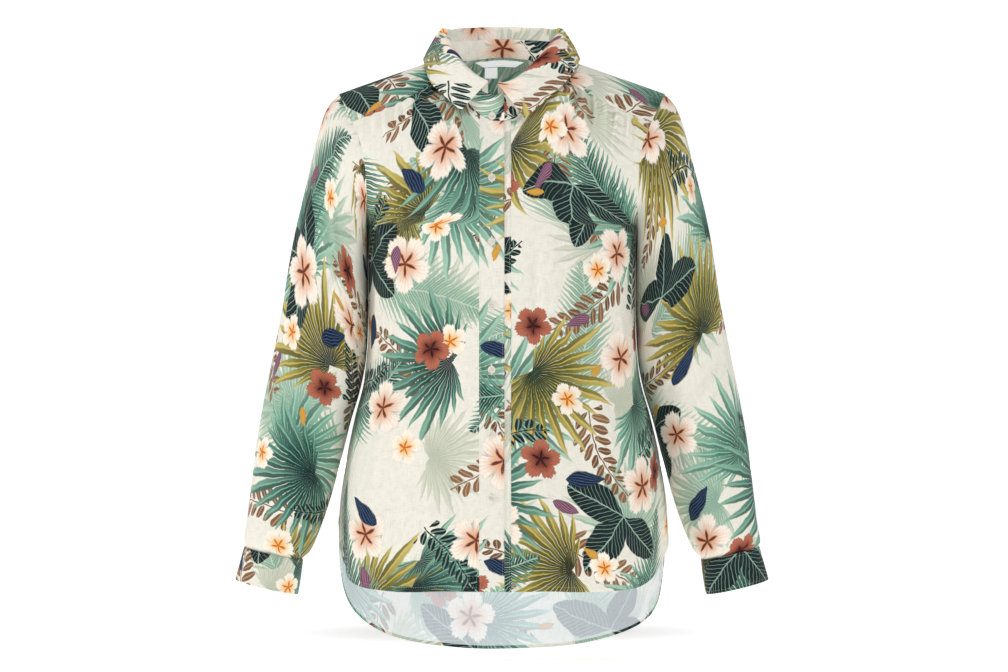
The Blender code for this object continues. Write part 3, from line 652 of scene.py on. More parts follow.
def painted_glow(look, strength):
    """Painted light: a glow in the cloth's own colour, standing in for light let through from behind,
    that brightens it in shade.
    """
    shader = look.node_tree.nodes["Principled BSDF"]
    colour = shader.inputs["Base Color"].links[0].from_socket
    look.node_tree.links.new(colour, shader.inputs["Emission Color"])
    shader.inputs["Emission Strength"].default_value = strength


RIGHT_SIDE = printed("printed_cloth_right_side")
# The print shows through the thin cloth, much paler, on its wrong side.
WRONG_SIDE = RIGHT_SIDE.copy()
WRONG_SIDE.name = "printed_cloth_wrong_side_painted_glow"
WRONG_SIDE.node_tree.nodes["fade"].inputs[0].default_value = 0.60
# Painted light: the wrong side glows a little in its own colour, which brightens it in the shade
# under the front hem.
painted_glow(WRONG_SIDE, 0.165)

CLOTH = 0.0006  # thickness of one layer
SHARP = math.radians(50)


def put(name, data):
    """A new object in the scene, at the origin and unturned."""
    piece = bpy.data.objects.new(name, data)
    bpy.context.scene.collection.objects.link(piece)
    return piece


def meshed(name, points, faces, looks):
    """A new object with a mesh of these points and faces."""
    mesh = bpy.data.meshes.new(name)
    mesh.from_pydata(points, [], faces)
    for look in looks:
        mesh.materials.append(look)
    return put(name, mesh)


def corners(grid):
    """The four corners of each face of a grid, in order round the face."""
    return np.stack([grid[:-1, :-1], grid[:-1, 1:], grid[1:, 1:], grid[1:, :-1]], axis=2)


def sheet(name, grid, pattern, wall=CLOTH, looks=(RIGHT_SIDE, WRONG_SIDE), closed=False, rolled=0):
    """A panel through a grid of points, with its flat cut as UV map, and a wall inwards.

    A rolled edge shows the right side on the inside too, over this many of its first rows.
    """
    rows, columns = grid.shape[:2]
    index = np.arange(rows * columns).reshape(rows, columns)
    if closed:
        index = np.concatenate([index, index[:, :1]], axis=1)
    faces = corners(index).reshape(-1, 4)
    piece = meshed(name, grid.reshape(-1, 3).tolist(), faces.tolist(), looks)
    flat = piece.data.uv_layers.new(name="cut")
    flat.data.foreach_set("uv", corners(pattern).astype(np.float32).ravel())
    thicken = piece.modifiers.new("wall", "SOLIDIFY")
    thicken.thickness = wall
    thicken.offset = -1
    thicken.use_even_offset = True
    thicken.material_offset = len(looks) - 1
    with bpy.context.temp_override(object=piece, active_object=piece, selected_objects=[piece]):
        bpy.ops.object.modifier_apply(modifier=thicken.name)
    inside = (rows - 1) * (columns - 1)
    for face in piece.data.polygons[inside:inside + rolled * (columns - 1)]:
        face.material_index = 0
    piece.data.shade_smooth()
    piece.data.set_sharp_from_angle(angle=SHARP)
    return piece


def cut_pattern(grid, corner, closed=False):
    """The flat cut of a grid in metres, shifted to where it lies on the bolt."""
    ring = np.concatenate([grid, grid[:, :1]], axis=1) if closed else grid
    across = run(ring, 1)
    along = np.mean(run(ring, 0), axis=1, keepdims=True) + 0 * across
    return np.stack([across - across[:, -1:] / 2, along], axis=-1) + corner


def panel(node, grid, pattern, held, rests_on, **cloth):
    """Sews in a panel: the sheet that stands for a CAD node."""
    piece = sheet(node + "_cloth", grid, pattern, **cloth)
    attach(piece, "root")
    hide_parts(node)
    first = corners(pattern)
    then = np.roll(first, -1, axis=2)
    cross = first[..., 0] * then[..., 1] - first[..., 1] * then[..., 0]
    area = float(np.abs(cross.sum(axis=2)).sum() / 2)
    width = float(np.median(np.linalg.norm(pattern[:, -1] - pattern[:, 0], axis=-1)))
    length = float(np.max(np.linalg.norm(pattern[-1] - pattern[0], axis=-1)))
    width = max(width, area / length * 1.001)


STITCH = 0.0021  # length of a stitch
STITCH_PITCH = 0.0029  # from the start of one to the start of the next
STITCH_HALF_WIDTH = 0.00016


def plain(name, colour, roughness):
    """A material with fine cloudy variation of one colour."""
    look, place = material(name, {"Roughness": roughness})
    darker = (*(0.82 * level for level in colour[:3]), 1.0)
    cloud = ((place.noise(900, 2) - 0.35) * 1.6).clamp()
    blend(place, colour, darker, cloud).feeds("Base Color")
    return look


SEWING_THREAD = plain("sewing_thread", ink(226, 220, 202), 0.55)


def at_distance(line, far, places):
    """Values along a line at these distances from its start."""
    return np.stack([np.interp(places, far, line[:, axis]) for axis in range(3)], axis=-1)


def stitches(name, lines):
    """Rows of stitches along lines of points on the cloth, each with its outward directions."""
    points = []
    for line, out in lines:
        far = run(line, 0)
        places = np.arange(STITCH_PITCH, far[-1] - STITCH_PITCH, STITCH_PITCH)
        start = at_distance(line, far, places)
        end = at_distance(line, far, places + STITCH)
        up = at_distance(out, far, places) * STITCH_HALF_WIDTH
        beside = np.cross(end - start, up)
        beside *= STITCH_HALF_WIDTH / np.linalg.norm(beside, axis=-1, keepdims=True)
        middle = (start + end) / 2
        points.append(np.stack([start, end, middle - beside, middle + beside, middle + 2 * up], 1))
    points = np.concatenate(points)
    shape = np.array([(0, 2, 4), (2, 1, 4), (1, 3, 4), (3, 0, 4), (0, 3, 2), (1, 2, 3)])
    faces = (np.arange(len(points))[:, None, None] * points.shape[1] + shape).reshape(-1, 3)
    piece = meshed(name, points.reshape(-1, 3).tolist(), faces.tolist(), [SEWING_THREAD])
    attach(piece, "root")


HEM = 0.007  # width of the turned-up hem
HEM_THICKER = 0.0005  # how far its three layers stand out
HEM_EDGE = 0.0014  # over which they end at the hem's upper edge
HEM_SWING = 0.0026  # how far the front's hem waves in and out
SMALL_SWING = 0.6  # size of the small waves against the broad ones
SWINGS = (52, 95)  # radians of the broad and the small waves for each metre along the hem
HEM_DIP = 0.0014  # how far it waves up and down
DIPS = 41  # radians of that for each metre along the hem
HEM_STEPS = (0.0, 0.0040, 0.0055, 0.0068, 0.0082)
SIDE_CROWDING = 0.95  # brings a front's columns together towards the side, where its cloth turns back


def hem_shares(length, count):
    """Shares of the way up a panel, closer together over its turned-up hem."""
    start = [step / length for step in HEM_STEPS]
    return np.concatenate([start, np.linspace(start[-1], 1, count)[1:]])


def hem_swell(up):
    """The turned-up hem is three layers thick, so it stands out a little."""
    return HEM_THICKER * (1 - ease((up - HEM + 0.0008) / HEM_EDGE))


def front_grid(side, edge, neck_columns, yoke_columns, lower_rows, upper_rows):
    """Points of a front from its hem up, each row from the placket to the side seam or armhole."""
    inner = abs(edge)
    start = neck_turn(edge) - (math.tau if side < 0 else 0)
    neck_x, neck_over = neck(np.linspace(start, side * YOKE_CORNER, neck_columns + 1))
    share = np.linspace(0, 1, yoke_columns + 1)[1:]
    seam_x, seam_over = front_seam(side, share + SIDE_CROWDING * share**2 * (1 - share))
    top_x = np.concatenate([neck_x, seam_x])
    top = over_point(top_x, np.concatenate([neck_over, seam_over]))[..., 2]
    arm_top = armhole_x(YOKE_FRONT_Z, True)
    pit_half = value(BODY, "z", "half_width", ARMPIT_Z)
    reach = (np.abs(top_x) - inner) / (arm_top - inner)
    first = turn_at(inner, ARMPIT_Z)
    share = (turn_at(mix(inner, pit_half, reach), ARMPIT_Z) - first) / (math.pi / 2 - first)
    rise = np.clip((share - FRONT_HEM_LEVEL) / (1 - FRONT_HEM_LEVEL), 0, 1)
    hem = mix(FRONT_HEM_Z, SIDE_HEM_Z, rise**FRONT_HEM_POWER)
    up = hem_shares(ARMPIT_Z - FRONT_HEM_Z, lower_rows)[:-1, None]
    low_z = mix(hem, ARMPIT_Z, up)
    low_x = x_at(mix(turn_at(inner, low_z), math.pi / 2, share), low_z)
    up = np.linspace(0, 1, upper_rows)[:, None]
    arm = armhole_x(mix(ARMPIT_Z, YOKE_FRONT_Z, up), True)
    x = np.concatenate([low_x, mix(inner, arm, reach)])
    z = np.concatenate([low_z, mix(ARMPIT_Z, top, up)])
    return body_point(side * x, z, True)


def band_lift(side, x):
    """The right front lies level with the upper band beside it, and sinks back away from it."""
    sunk = ease((np.abs(x) - BAND_WIDTH) / LEVEL_REACH)
    return LAP * (1 - sunk) if side < 0 else 0.0


# Soft troughs and ridges of the worn fronts, the armhole side away from the placket: across is
# the distance from the placket, along the distance below the top edge (negative).
FRONT_CREASES = {
    -1: creases(
        (112, -150, 150, 8, -5, 24, 1.5),
        (128, -165, 120, 6, 4, 28, 1),
        (70, -330, 260, 10, 3.5, -5, 0.6),
        (96, -360, 230, 8, -4.5, -8, 0.8),
        (36, -460, 190, 8, -2.7, 3, 0),
        (128, -420, 180, 9, 4, -12, 0.8),
        (150, -300, 120, 6, -3.2, -16, 0.5),
        (58, -545, 110, 6, 2.7, 6, 0),
        (105, -530, 120, 7, -3.5, -6, 0.4),
        (22, -230, 160, 6, -1.8, -3, 0.3),
        (30, -480, 170, 6, 2, 22, 0.4),
        (50, -465, 190, 6, -2.2, 24, 0.4),
        (71, -450, 180, 7, 2, 26, 0.4),
    ),
    1: creases(
        (118, -145, 140, 7, -5.4, 26, 1.4),
        (136, -170, 130, 6, 3.5, 22, 1.2),
        (78, -310, 240, 10, -4, -4, 0.4),
        (104, -345, 250, 9, 4, -9, 0.9),
        (44, -430, 210, 9, 2.7, 2, 0.2),
        (136, -400, 160, 8, -4, -13, 0.6),
        (156, -290, 110, 6, 2.7, -15, 0.5),
        (66, -550, 120, 7, -3.2, 5, 0),
        (120, -535, 110, 6, 3.4, -7, 0.3),
        (30, -250, 140, 6, -2.1, -2, 0.4),
    ),
}
SEAM_INNER = 0.060  # how far from the middle a front is gathered into the yoke
SEAM_OUTER = 0.178
GATHER_FADE = 0.012  # the gathers grow over this width at the ends of the seam and below it
HEM_SWING_HEIGHT = 0.24  # how far up the hem's waves reach
HEM_DIP_HEIGHT = 0.10
STRAIGHT_BESIDE = 0.02  # the hem is straight for this width beside the placket
WAVES_GROW = 0.05

for side, word, edge, corner in (
    (-1, "right", BAND_RIGHT_EDGE - BAND_WIDTH, (0.30, 0.20)),
    (1, "left", UNDER_RIGHT_EDGE, (2.11, 1.37)),
):
    grid = front_grid(side, edge, neck_columns=26, yoke_columns=90, lower_rows=104, upper_rows=52)
    if side < 0:
        grid = grid[:, ::-1]
    out = outward(grid)
    across = run(grid, 1)
    across = across[:, -1:] - across if side < 0 else across
    up = run(grid, 0)
    down = up[-1:] - up
    lift = band_lift(side, grid[..., 0]) + hem_swell(up)
    lift = lift + pressed(FRONT_CREASES[side], across, -down)
    beside = np.abs(grid[..., 0])
    gathered = ease((beside - SEAM_INNER) / GATHER_FADE) * ease((SEAM_OUTER - beside) / GATHER_FADE)
    gathered = gathered * mix(0.3, 1, ease(down / GATHER_FADE))
    puckers = gathers(11 + side, SEAM_INNER, SEAM_OUTER, count=17, length=0.120, depth=0.0046)
    lift = lift + pressed(puckers, beside, -down) * gathered
    away = ease((across - STRAIGHT_BESIDE) / WAVES_GROW)
    wave = np.sin(across * SWINGS[0] + side)
    wave = wave + SMALL_SWING * np.sin(across * SWINGS[1] + 2 * side)
    lift = lift + HEM_SWING * wave * away * (1 - ease(up / HEM_SWING_HEIGHT))
    grid = grid + out * lift[..., None]
    grid[..., 2] += HEM_DIP * np.sin(across * DIPS + 1) * away * (1 - ease(up / HEM_DIP_HEIGHT))
    panel("front_" + word, grid, cut_pattern(grid, corner), "hung", ["yoke"], rolled=1)
    stitches("front_" + word + "_hem_stitches", [(grid[2], out[2])])

# ==== Placket =====================================================================================
# Two straight double bands down the centre front, the right one over the left, each stitched
# along both edges. The upper one is a strip of its own, so its print doesn't meet the fronts'.
BAND_WALL = 0.0010
BAND_EDGE = 0.0019  # from a band's edge to its row of stitches
BAND_SUNK = 0.0005  # how far in its rounded edges lie
BAND_ROUND = 0.0012


def nearest(values, wanted):
    """Number of the value that is nearest to the wanted one."""
    return int(np.argmin(abs(values - wanted)))


def band_grid(left, right, lift):
    """Points of a band between two x, from its hem up to the neck seam."""
    edges = [left, left + BAND_EDGE, right - BAND_EDGE, right]
    x = np.unique(np.concatenate([edges, np.linspace(left, right, 15)]))
    top = np.array([over_point(*neck(neck_turn(place)))[2] for place in x])
    up = hem_shares(ARMPIT_Z - FRONT_HEM_Z, 90)[:-1, None]
    low = mix(np.full_like(x, FRONT_HEM_Z), ARMPIT_Z, up)
    high = mix(ARMPIT_Z, top, np.linspace(0, 1, 40)[:, None])
    z = np.concatenate([low, high])
    grid = body_point(np.broadcast_to(x, z.shape), z, True)
    out = outward(grid)
    return grid + out * (lift + hem_swell(run(grid, 0)) * 0.6)[..., None], out, x


BANDS = (
    ("placket_under", UNDER_RIGHT_EDGE - BAND_WIDTH, UNDER_RIGHT_EDGE, 0.0002, (5.05, 3.31)),
    ("placket_top", BAND_RIGHT_EDGE - BAND_WIDTH, BAND_RIGHT_EDGE, LAP + 0.0004, (7.62, 0.44)),
)
for name, left, right, lift, corner in BANDS:
    grid, out, x = band_grid(left, right, lift)
    inset = np.minimum(x - left, right - x)
    grid = grid - out * (BAND_SUNK * (1 - ease(inset / BAND_ROUND)))[:, None]
    panel(name, grid, cut_pattern(grid, corner), "hung", ["collar_stand"], wall=BAND_WALL)
    rows = [nearest(x, left + BAND_EDGE), nearest(x, right - BAND_EDGE)]
    stitches(name + "_stitches", [(grid[:, i], out[:, i]) for i in rows])

# ==== Back ========================================================================================
# One panel, longer than the fronts, with a deep curved hem and small gathers under the yoke. Its
# wrong side shows below the front hem.
BACK_CREASES = creases(
    (-90, -200, 220, 10, -4.4, 10, 0.8),
    (-45, -250, 300, 12, 4, 3, 0.4),
    (10, -230, 260, 9, -2.9, -2, 0.2),
    (60, -270, 280, 11, 3.6, -4, -0.5),
    (105, -190, 200, 9, -4.4, -12, -0.8),
    (-140, -100, 120, 8, -3.6, 28, 1.2),
    (138, -110, 130, 8, -3.3, -26, -1.2),
    (-120, -420, 240, 11, 4, 6, 0.3),
    (-70, -480, 220, 10, -3.6, 3, 0.2),
    (20, -500, 240, 11, -2.9, 0, 0.1),
    (85, -450, 260, 10, 4, -5, -0.3),
    (135, -400, 200, 9, -3.3, -7, -0.4),
)
BACK_HEM_Z = -0.747
BACK_HEM_RISE = ((0.56, 2), (0.44, 10))  # share of the rise, and the power it follows
YOKE_BACK_Z = -0.105
BACK_GATHERS = 0.085  # how far to each side the back is gathered into the yoke
BACK_GATHER_FADE = 0.02  # width over which the gathers end there


def back_grid(columns, lower_rows, upper_rows):
    turn = np.linspace(1, -1, columns) * math.pi / 2
    share = np.abs(turn) / (math.pi / 2)
    rise = sum(part * share**power for part, power in BACK_HEM_RISE)
    hem = mix(BACK_HEM_Z, SIDE_HEM_Z, rise)
    up = hem_shares(ARMPIT_Z - BACK_HEM_Z, lower_rows)[:-1, None]
    low_z = mix(hem, ARMPIT_Z, up)
    low_x = np.sign(turn) * x_at(np.abs(turn), low_z)
    arm_z = mix(ARMPIT_Z, YOKE_BACK_Z, np.linspace(0, 1, upper_rows)[:, None])
    narrowed = armhole_x(arm_z, False) / value(BODY, "z", "half_width", ARMPIT_Z)
    high_x = np.sign(turn) * x_at(np.abs(turn), ARMPIT_Z) * narrowed
    z = np.concatenate([low_z, np.broadcast_to(arm_z, high_x.shape)])
    return body_point(np.concatenate([low_x, high_x]), z, False)


grid = back_grid(columns=170, lower_rows=120, upper_rows=34)
out = outward(grid)
up = run(grid, 0)
down = up[-1:] - up
across = run(grid, 1)
across = across - across[:, -1:] / 2
puckers = gathers(23, -BACK_GATHERS, BACK_GATHERS, count=15, length=0.100, depth=0.0032)
gathered = 1 - ease((np.abs(across) - BACK_GATHERS) / BACK_GATHER_FADE + 0.5)
lift = hem_swell(up) + pressed(BACK_CREASES, across, -down)
lift = lift + pressed(puckers, across, -down) * gathered
grid = grid + out * lift[..., None]
panel("back", grid, cut_pattern(grid, (3.71, 2.46)), "hung", ["yoke"], rolled=1)
stitches("back_hem_stitches", [(grid[2], out[2])])

# ==== Yoke ========================================================================================
# A double layer over the shoulders, cut across the print. Its front and back edges are turned
# under and topstitched onto the gathered panels.
ARM_TOP_Z = ARMHOLE[-1].z
YOKE_BACK_TURN = math.radians(62)
YOKE_SIDE_TURN = math.radians(95)
YOKE_BOW_START = 0.75
YOKE_WALL = 0.0010
YOKE_RISE = 0.0007  # how much more its turned edge stands out
YOKE_LIFT = 0.0003  # of its middle above the panels' own form
YOKE_DEPTH_PER_RADIAN = 0.125  # of the flat cut, for each radian over the shoulder
YOKE_EDGE_SHARES = (1, 0.985, 0.97)  # its first rows, the third of which is stitched
YOKE_TURNED = 0.004  # width of its turned edge
YOKE_SINKS = 0.008  # width over which it is down to its middle again


def to_nearer_end(grid, axis):
    """Distance along a grid's rows or columns from the nearer of their two ends."""
    return np.minimum(run(grid, axis), np.flip(run(np.flip(grid, axis), axis), axis))


def arm_heights(seam_z, shares):
    """Heights on the armhole between a yoke seam (0) and the top of the shoulder (1)."""
    middle, half = (ARM_TOP_Z + ARMPIT_Z) / 2, (ARM_TOP_Z - ARMPIT_Z) / 2
    return middle + half * np.cos(math.acos((seam_z - middle) / half) * (1 - shares))


def yoke_rays(back_columns, behind_columns, before_columns):
    """Turn round the neck, outer x and outer angle of the rays on the wearer's left."""
    share = np.linspace(0, 1, back_columns + 1)
    x = armhole_x(YOKE_BACK_Z, False) * share
    parts = [(YOKE_BACK_TURN * share, x, over_angle(x, YOKE_BACK_Z, False))]
    for columns, start, end, front in (
        (behind_columns, YOKE_BACK_TURN, YOKE_SIDE_TURN, False),
        (before_columns, YOKE_SIDE_TURN, YOKE_CORNER, True),
    ):
        share = np.linspace(0, 1, columns + 1)[1:]
        z = arm_heights(YOKE_FRONT_Z, 1 - share) if front else arm_heights(YOKE_BACK_Z, share)
        x = armhole_x(z, front)
        parts.append((mix(start, end, share), x, over_angle(x, z, front)))
    return [np.concatenate(column) for column in zip(*parts)]


turn, outer_x, outer_over = yoke_rays(back_columns=40, behind_columns=24, before_columns=16)
turn = np.concatenate([turn[::-1], -turn[1:]])
outer_x = np.concatenate([outer_x[::-1], -outer_x[1:]])
outer_over = np.concatenate([outer_over[::-1], outer_over[1:]])
inner_x, inner_over = neck(turn)
share = np.concatenate([YOKE_EDGE_SHARES, np.linspace(0.95, 0, 40)])[:, None]
bowing = np.clip(np.abs(turn) / YOKE_CORNER - YOKE_BOW_START, 0, 1) / (1 - YOKE_BOW_START)
over = mix(inner_over, outer_over, share) + YOKE_SEAM_BOW * bowing * 4 * share * (1 - share)
grid = over_point(mix(inner_x, outer_x, share), over)
out = outward(grid)
from_edge = run(grid, 0)
from_front = to_nearer_end(grid, 1)
at_seam = np.abs(turn) < YOKE_BACK_TURN * 1.02
edge = np.where(at_seam, np.minimum(from_edge, from_front), from_front)
risen = (1 - ease((edge - YOKE_TURNED) / YOKE_SINKS)) * ease(edge / 0.0008 + 0.4)
lift = YOKE_LIFT + YOKE_RISE * risen
grid = grid + out * lift[..., None]
pattern = np.stack([over * YOKE_DEPTH_PER_RADIAN, grid[..., 0]], axis=-1) + (8.31, 6.77)
panel("yoke", grid, pattern, "draped", [], wall=YOKE_WALL, looks=(RIGHT_SIDE,))
back_line = np.flatnonzero(at_seam)
stitches("yoke_stitches", [
    (grid[2, back_line], out[2, back_line]),
    (grid[:, 1], out[:, 1]),
    (grid[:, -2], out[:, -2]),
])

# ==== Collar stand ================================================================================
# An upright interlined band round the neck, buttoned at the front. Its inner side shows the print
# too. The upper end lies over the under one.
Collar = namedtuple("Collar", "turn stand roll")
COLLAR = [
    Collar(0, 0.0230, 0.0120),
    Collar(42, 0.0250, 0.0130),
    Collar(66, 0.0225, 0.0115),
    Collar(95, 0.0215, 0.0110),
    Collar(135, 0.0270, 0.0120),
    Collar(195, 0.0350, 0.0130),
]
STAND_LEAN = 0.93  # size of the stand's top edge against the neck seam
STAND_WALL = 0.0012


def out_of(x, over):
    """Outward direction on the shoulders."""
    across = over_point(x + 0.004, over) - over_point(x - 0.004, over)
    along = over_point(x, over + 0.02) - over_point(x, over - 0.02)
    normal = np.cross(across, along)
    return normal / np.linalg.norm(normal, axis=-1, keepdims=True)


def from_neck(turn):
    """Level direction away from the middle of the neck."""
    return np.stack([np.sin(turn), np.cos(turn), 0 * turn], axis=-1)


def stand_point(turn, up):
    """Point of the stand: up is 0 at the neck seam and 1 at its top edge."""
    x, over = neck(turn)
    seam = over_point(x, over)
    centre = np.zeros_like(seam)
    centre[..., 0] = middle_x(turn)
    top = centre + (seam - centre) * (STAND_LEAN, STAND_LEAN, 1)
    top[..., 2] += value(COLLAR, "turn", "stand", np.abs(np.degrees(turn)))
    lapped = np.where(turn < -math.pi / 2, band_lift(-1, np.minimum(x, 0)), 0.0)[..., None]
    return mix(seam + out_of(x, over) * lapped, top + from_neck(turn) * lapped, up)


first_turn = neck_turn(UNDER_RIGHT_EDGE - BAND_WIDTH)
last_turn = neck_turn(BAND_RIGHT_EDGE) - math.tau
turn = np.linspace(first_turn, last_turn, 220)
grid = np.stack([stand_point(turn, up) for up in np.linspace(0.02, 1, 14)])
out = outward(grid)
grid = grid + out * (STAND_WALL / 2)
# Painted light: a copy of the cloth that glows a little in its own colour, so that the stand's inner
# side is brighter in the shade of the neck.
glowing_stand_cloth = RIGHT_SIDE.copy()
glowing_stand_cloth.name = "printed_cloth_collar_stand_painted_glow"
painted_glow(glowing_stand_cloth, 0.19)
under_it = ["yoke", "front_right_cloth", "front_left_cloth"]
pattern = cut_pattern(grid, (16.657, 3.264))
panel("collar_stand", grid, pattern, "stretched", under_it, wall=STAND_WALL, looks=(glowing_stand_cloth,))
stitches("collar_stand_stitches", [(grid[1], out[1])])

# ==== Collar leaf =================================================================================
# The turned-down leaf of a shirt collar, two layers and an interlining, with a soft roll behind
# the neck, a pointed end at each side of the front and a row of topstitching inside its edge.
LeafEdge = namedtuple("LeafEdge", "along x over lift")
LEAF_EDGE = [
    LeafEdge(0.00, 0.0000, 38, 0.011),
    LeafEdge(0.25, 0.0590, 31, 0.011),
    LeafEdge(0.42, 0.0880, 16, 0.008),
    LeafEdge(0.53, 0.0945, -2, 0.006),
    LeafEdge(0.66, 0.0895, -21, 0.006),
    LeafEdge(0.78, 0.0795, -31, 0.006),
    LeafEdge(0.90, 0.0600, -37, 0.006),
    LeafEdge(1.00, 0.0400, -41, 0.007),
]
LEAF_END = math.radians(175)
LEAF_FOLD = ((0.0045, -0.0006), (0.0085, 0.0020))  # out from the fold's line, and down from it
LEAF_ROLL_OUT = 0.0025
LEAF_BOW = 0.0015  # how far the leaf bows out between its fold and its edge
LEAF_WALL = 0.0014
LEAF_STITCH = 0.005  # from the leaf's edge to its topstitching
LEAF_SUNK = 0.0005  # how far in its rounded edge lies
LEAF_ROLL_MORE = 0.0019  # the fold stands this much higher than the table says
LEAF_FOLD_ROW = 30  # of the leaf's rows, where its ends come out from under the fold
EDGE_ROUND = 0.0014  # width over which a doubled piece's edge is rounded
QUILT = 0.0003  # how far a row of stitches draws a doubled piece in
QUILT_WIDTH = 0.0007


def sewn_rim(rim, stitched, edge):
    """How far a doubled piece sinks at its rounded edge, and at the row of stitches inside it."""
    quilt = QUILT * np.exp(-(((rim - stitched) / QUILT_WIDTH) ** 2))
    return edge * (1 - ease(rim / EDGE_ROUND)) + quilt


def spline(points, count):
    """count rows on a smooth curve through rows of points."""
    ahead = 2 * points[0] - points[1]
    behind = 2 * points[-1] - points[-2]
    knots = np.concatenate([[ahead], points, [behind]])
    places = np.linspace(0, len(points) - 1, count)
    rows = []
    for place in places:
        i = min(int(place), len(points) - 2)
        t = place - i
        a, b, c, d = knots[i:i + 4]
        bend = 2 * a - 5 * b + 4 * c - d
        twist = 3 * (b - c) + d - a
        rows.append((2 * b + (c - a) * t + bend * t**2 + twist * t**3) / 2)
    return np.array(rows)


along = np.linspace(-1, 1, 181)
turn = along * LEAF_END
radial = from_neck(turn)
upright = np.array([0, 0, 1])
foot = stand_point(turn, 1.0)
roll = value(COLLAR, "turn", "roll", np.abs(np.degrees(turn)))[:, None] + LEAF_ROLL_MORE
fold = foot + upright * roll + radial * LEAF_ROLL_OUT
edge_x = np.sign(along) * value(LEAF_EDGE, "along", "x", np.abs(along)) + middle_x(turn)
edge_over = np.radians(value(LEAF_EDGE, "along", "over", np.abs(along)))
edge_lift = value(LEAF_EDGE, "along", "lift", np.abs(along))[:, None]
edge = over_point(edge_x, edge_over) + out_of(edge_x, edge_over) * edge_lift
rows = [foot, mix(foot, fold, 0.55), fold]
rows += [fold + radial * far - upright * drop for far, drop in LEAF_FOLD]
shoulder = rows[-1]
for share in (0.33, 0.66, 1.0):
    rows.append(mix(shoulder, edge, share) + radial * LEAF_BOW * math.sin(math.pi * share))
grid = spline(np.array(rows), 64)
out = outward(grid)
to_edge = run(grid, 0)[-1:] - run(grid, 0)
rim = np.minimum(to_edge, to_nearer_end(grid, 1))
grid = grid + out * (LEAF_WALL / 2 - sewn_rim(rim, LEAF_STITCH, LEAF_SUNK))[..., None]
pattern = cut_pattern(grid, (16.692, 2.516))
under_it = ["collar_stand_cloth"]
panel("collar_leaf", grid, pattern, "folded", under_it, wall=LEAF_WALL, looks=(RIGHT_SIDE,))


def inside_line(grid, out, distance):
    """A line inside a leaf's three free edges, up one end, along the edge and down the other."""
    first = nearest(run(grid, 1)[-1], distance)
    last = grid.shape[1] - 1 - first
    falls = run(grid[::-1], 0)[::-1]
    row = [nearest(falls[:, i], distance) for i in range(grid.shape[1])]
    path = [(k, first) for k in range(LEAF_FOLD_ROW, row[first])]
    path += [(row[i], i) for i in range(first, last + 1)]
    path += [(k, last) for k in range(row[last], LEAF_FOLD_ROW, -1)]
    picked = tuple(np.array(path).T)
    return grid[picked], out[picked]


stitches("collar_leaf_stitches", [inside_line(grid, out, LEAF_STITCH)])

# ==== Sleeves =====================================================================================
# Long, fairly full set-in sleeves, bent a little forward at the elbow. Each is one tube of cloth,
# open at the armhole seam and gathered into its cuff.

# One row for each ring: its outer and inner ends seen from the front, its half depth, how far
# its front and back are drawn in towards the body, and how far it lies forward.
Ring = namedtuple("Ring", "outer_x outer_z inner_x inner_z half_depth draw forward")
SLEEVE = [
    Ring(0.2150, -0.0700, 0.1656, -0.2400, 0.0795, 0.0150, 0.000),
    Ring(0.2278, -0.1080, 0.1647, -0.2680, 0.0780, 0.0090, 0.000),
    Ring(0.2385, -0.1560, 0.1645, -0.3000, 0.0750, 0.0040, 0.001),
    Ring(0.2480, -0.2060, 0.1645, -0.3300, 0.0715, 0.0010, 0.002),
    Ring(0.2580, -0.2580, 0.1655, -0.3600, 0.0680, 0.0000, 0.003),
    Ring(0.2690, -0.3130, 0.1683, -0.3880, 0.0645, 0.0000, 0.005),
    Ring(0.2800, -0.3690, 0.1745, -0.4180, 0.0615, 0.0000, 0.008),
    Ring(0.2910, -0.4240, 0.1849, -0.4520, 0.0590, 0.0000, 0.012),
    Ring(0.3010, -0.4820, 0.1975, -0.5020, 0.0565, 0.0000, 0.016),
    Ring(0.3075, -0.5380, 0.2115, -0.5530, 0.0520, 0.0000, 0.020),
    Ring(0.3125, -0.5780, 0.2255, -0.5930, 0.0470, 0.0000, 0.023),
    Ring(0.3150, -0.5960, 0.2345, -0.6120, 0.0420, 0.0000, 0.024),
    Ring(0.3137, -0.6046, 0.2440, -0.6206, 0.0335, 0.0000, 0.025),
    Ring(0.3145, -0.6096, 0.2440, -0.6256, 0.0335, 0.0000, 0.025),
]
ARMHOLE_SET = (-0.0009, 0.0016)  # how far out of the panels' edge: at the shoulder, the armpit
ARMHOLE_SINK = 0.994  # the sleeve's edge lies just inside the panels' edge
SMOOTH_AT_CUFF = 0.002  # no creases this far up from the cuff
GROW_AT_CUFF = 0.012  # they grow over this length above it
GROW_AT_ARMHOLE = 0.020  # and below the armhole

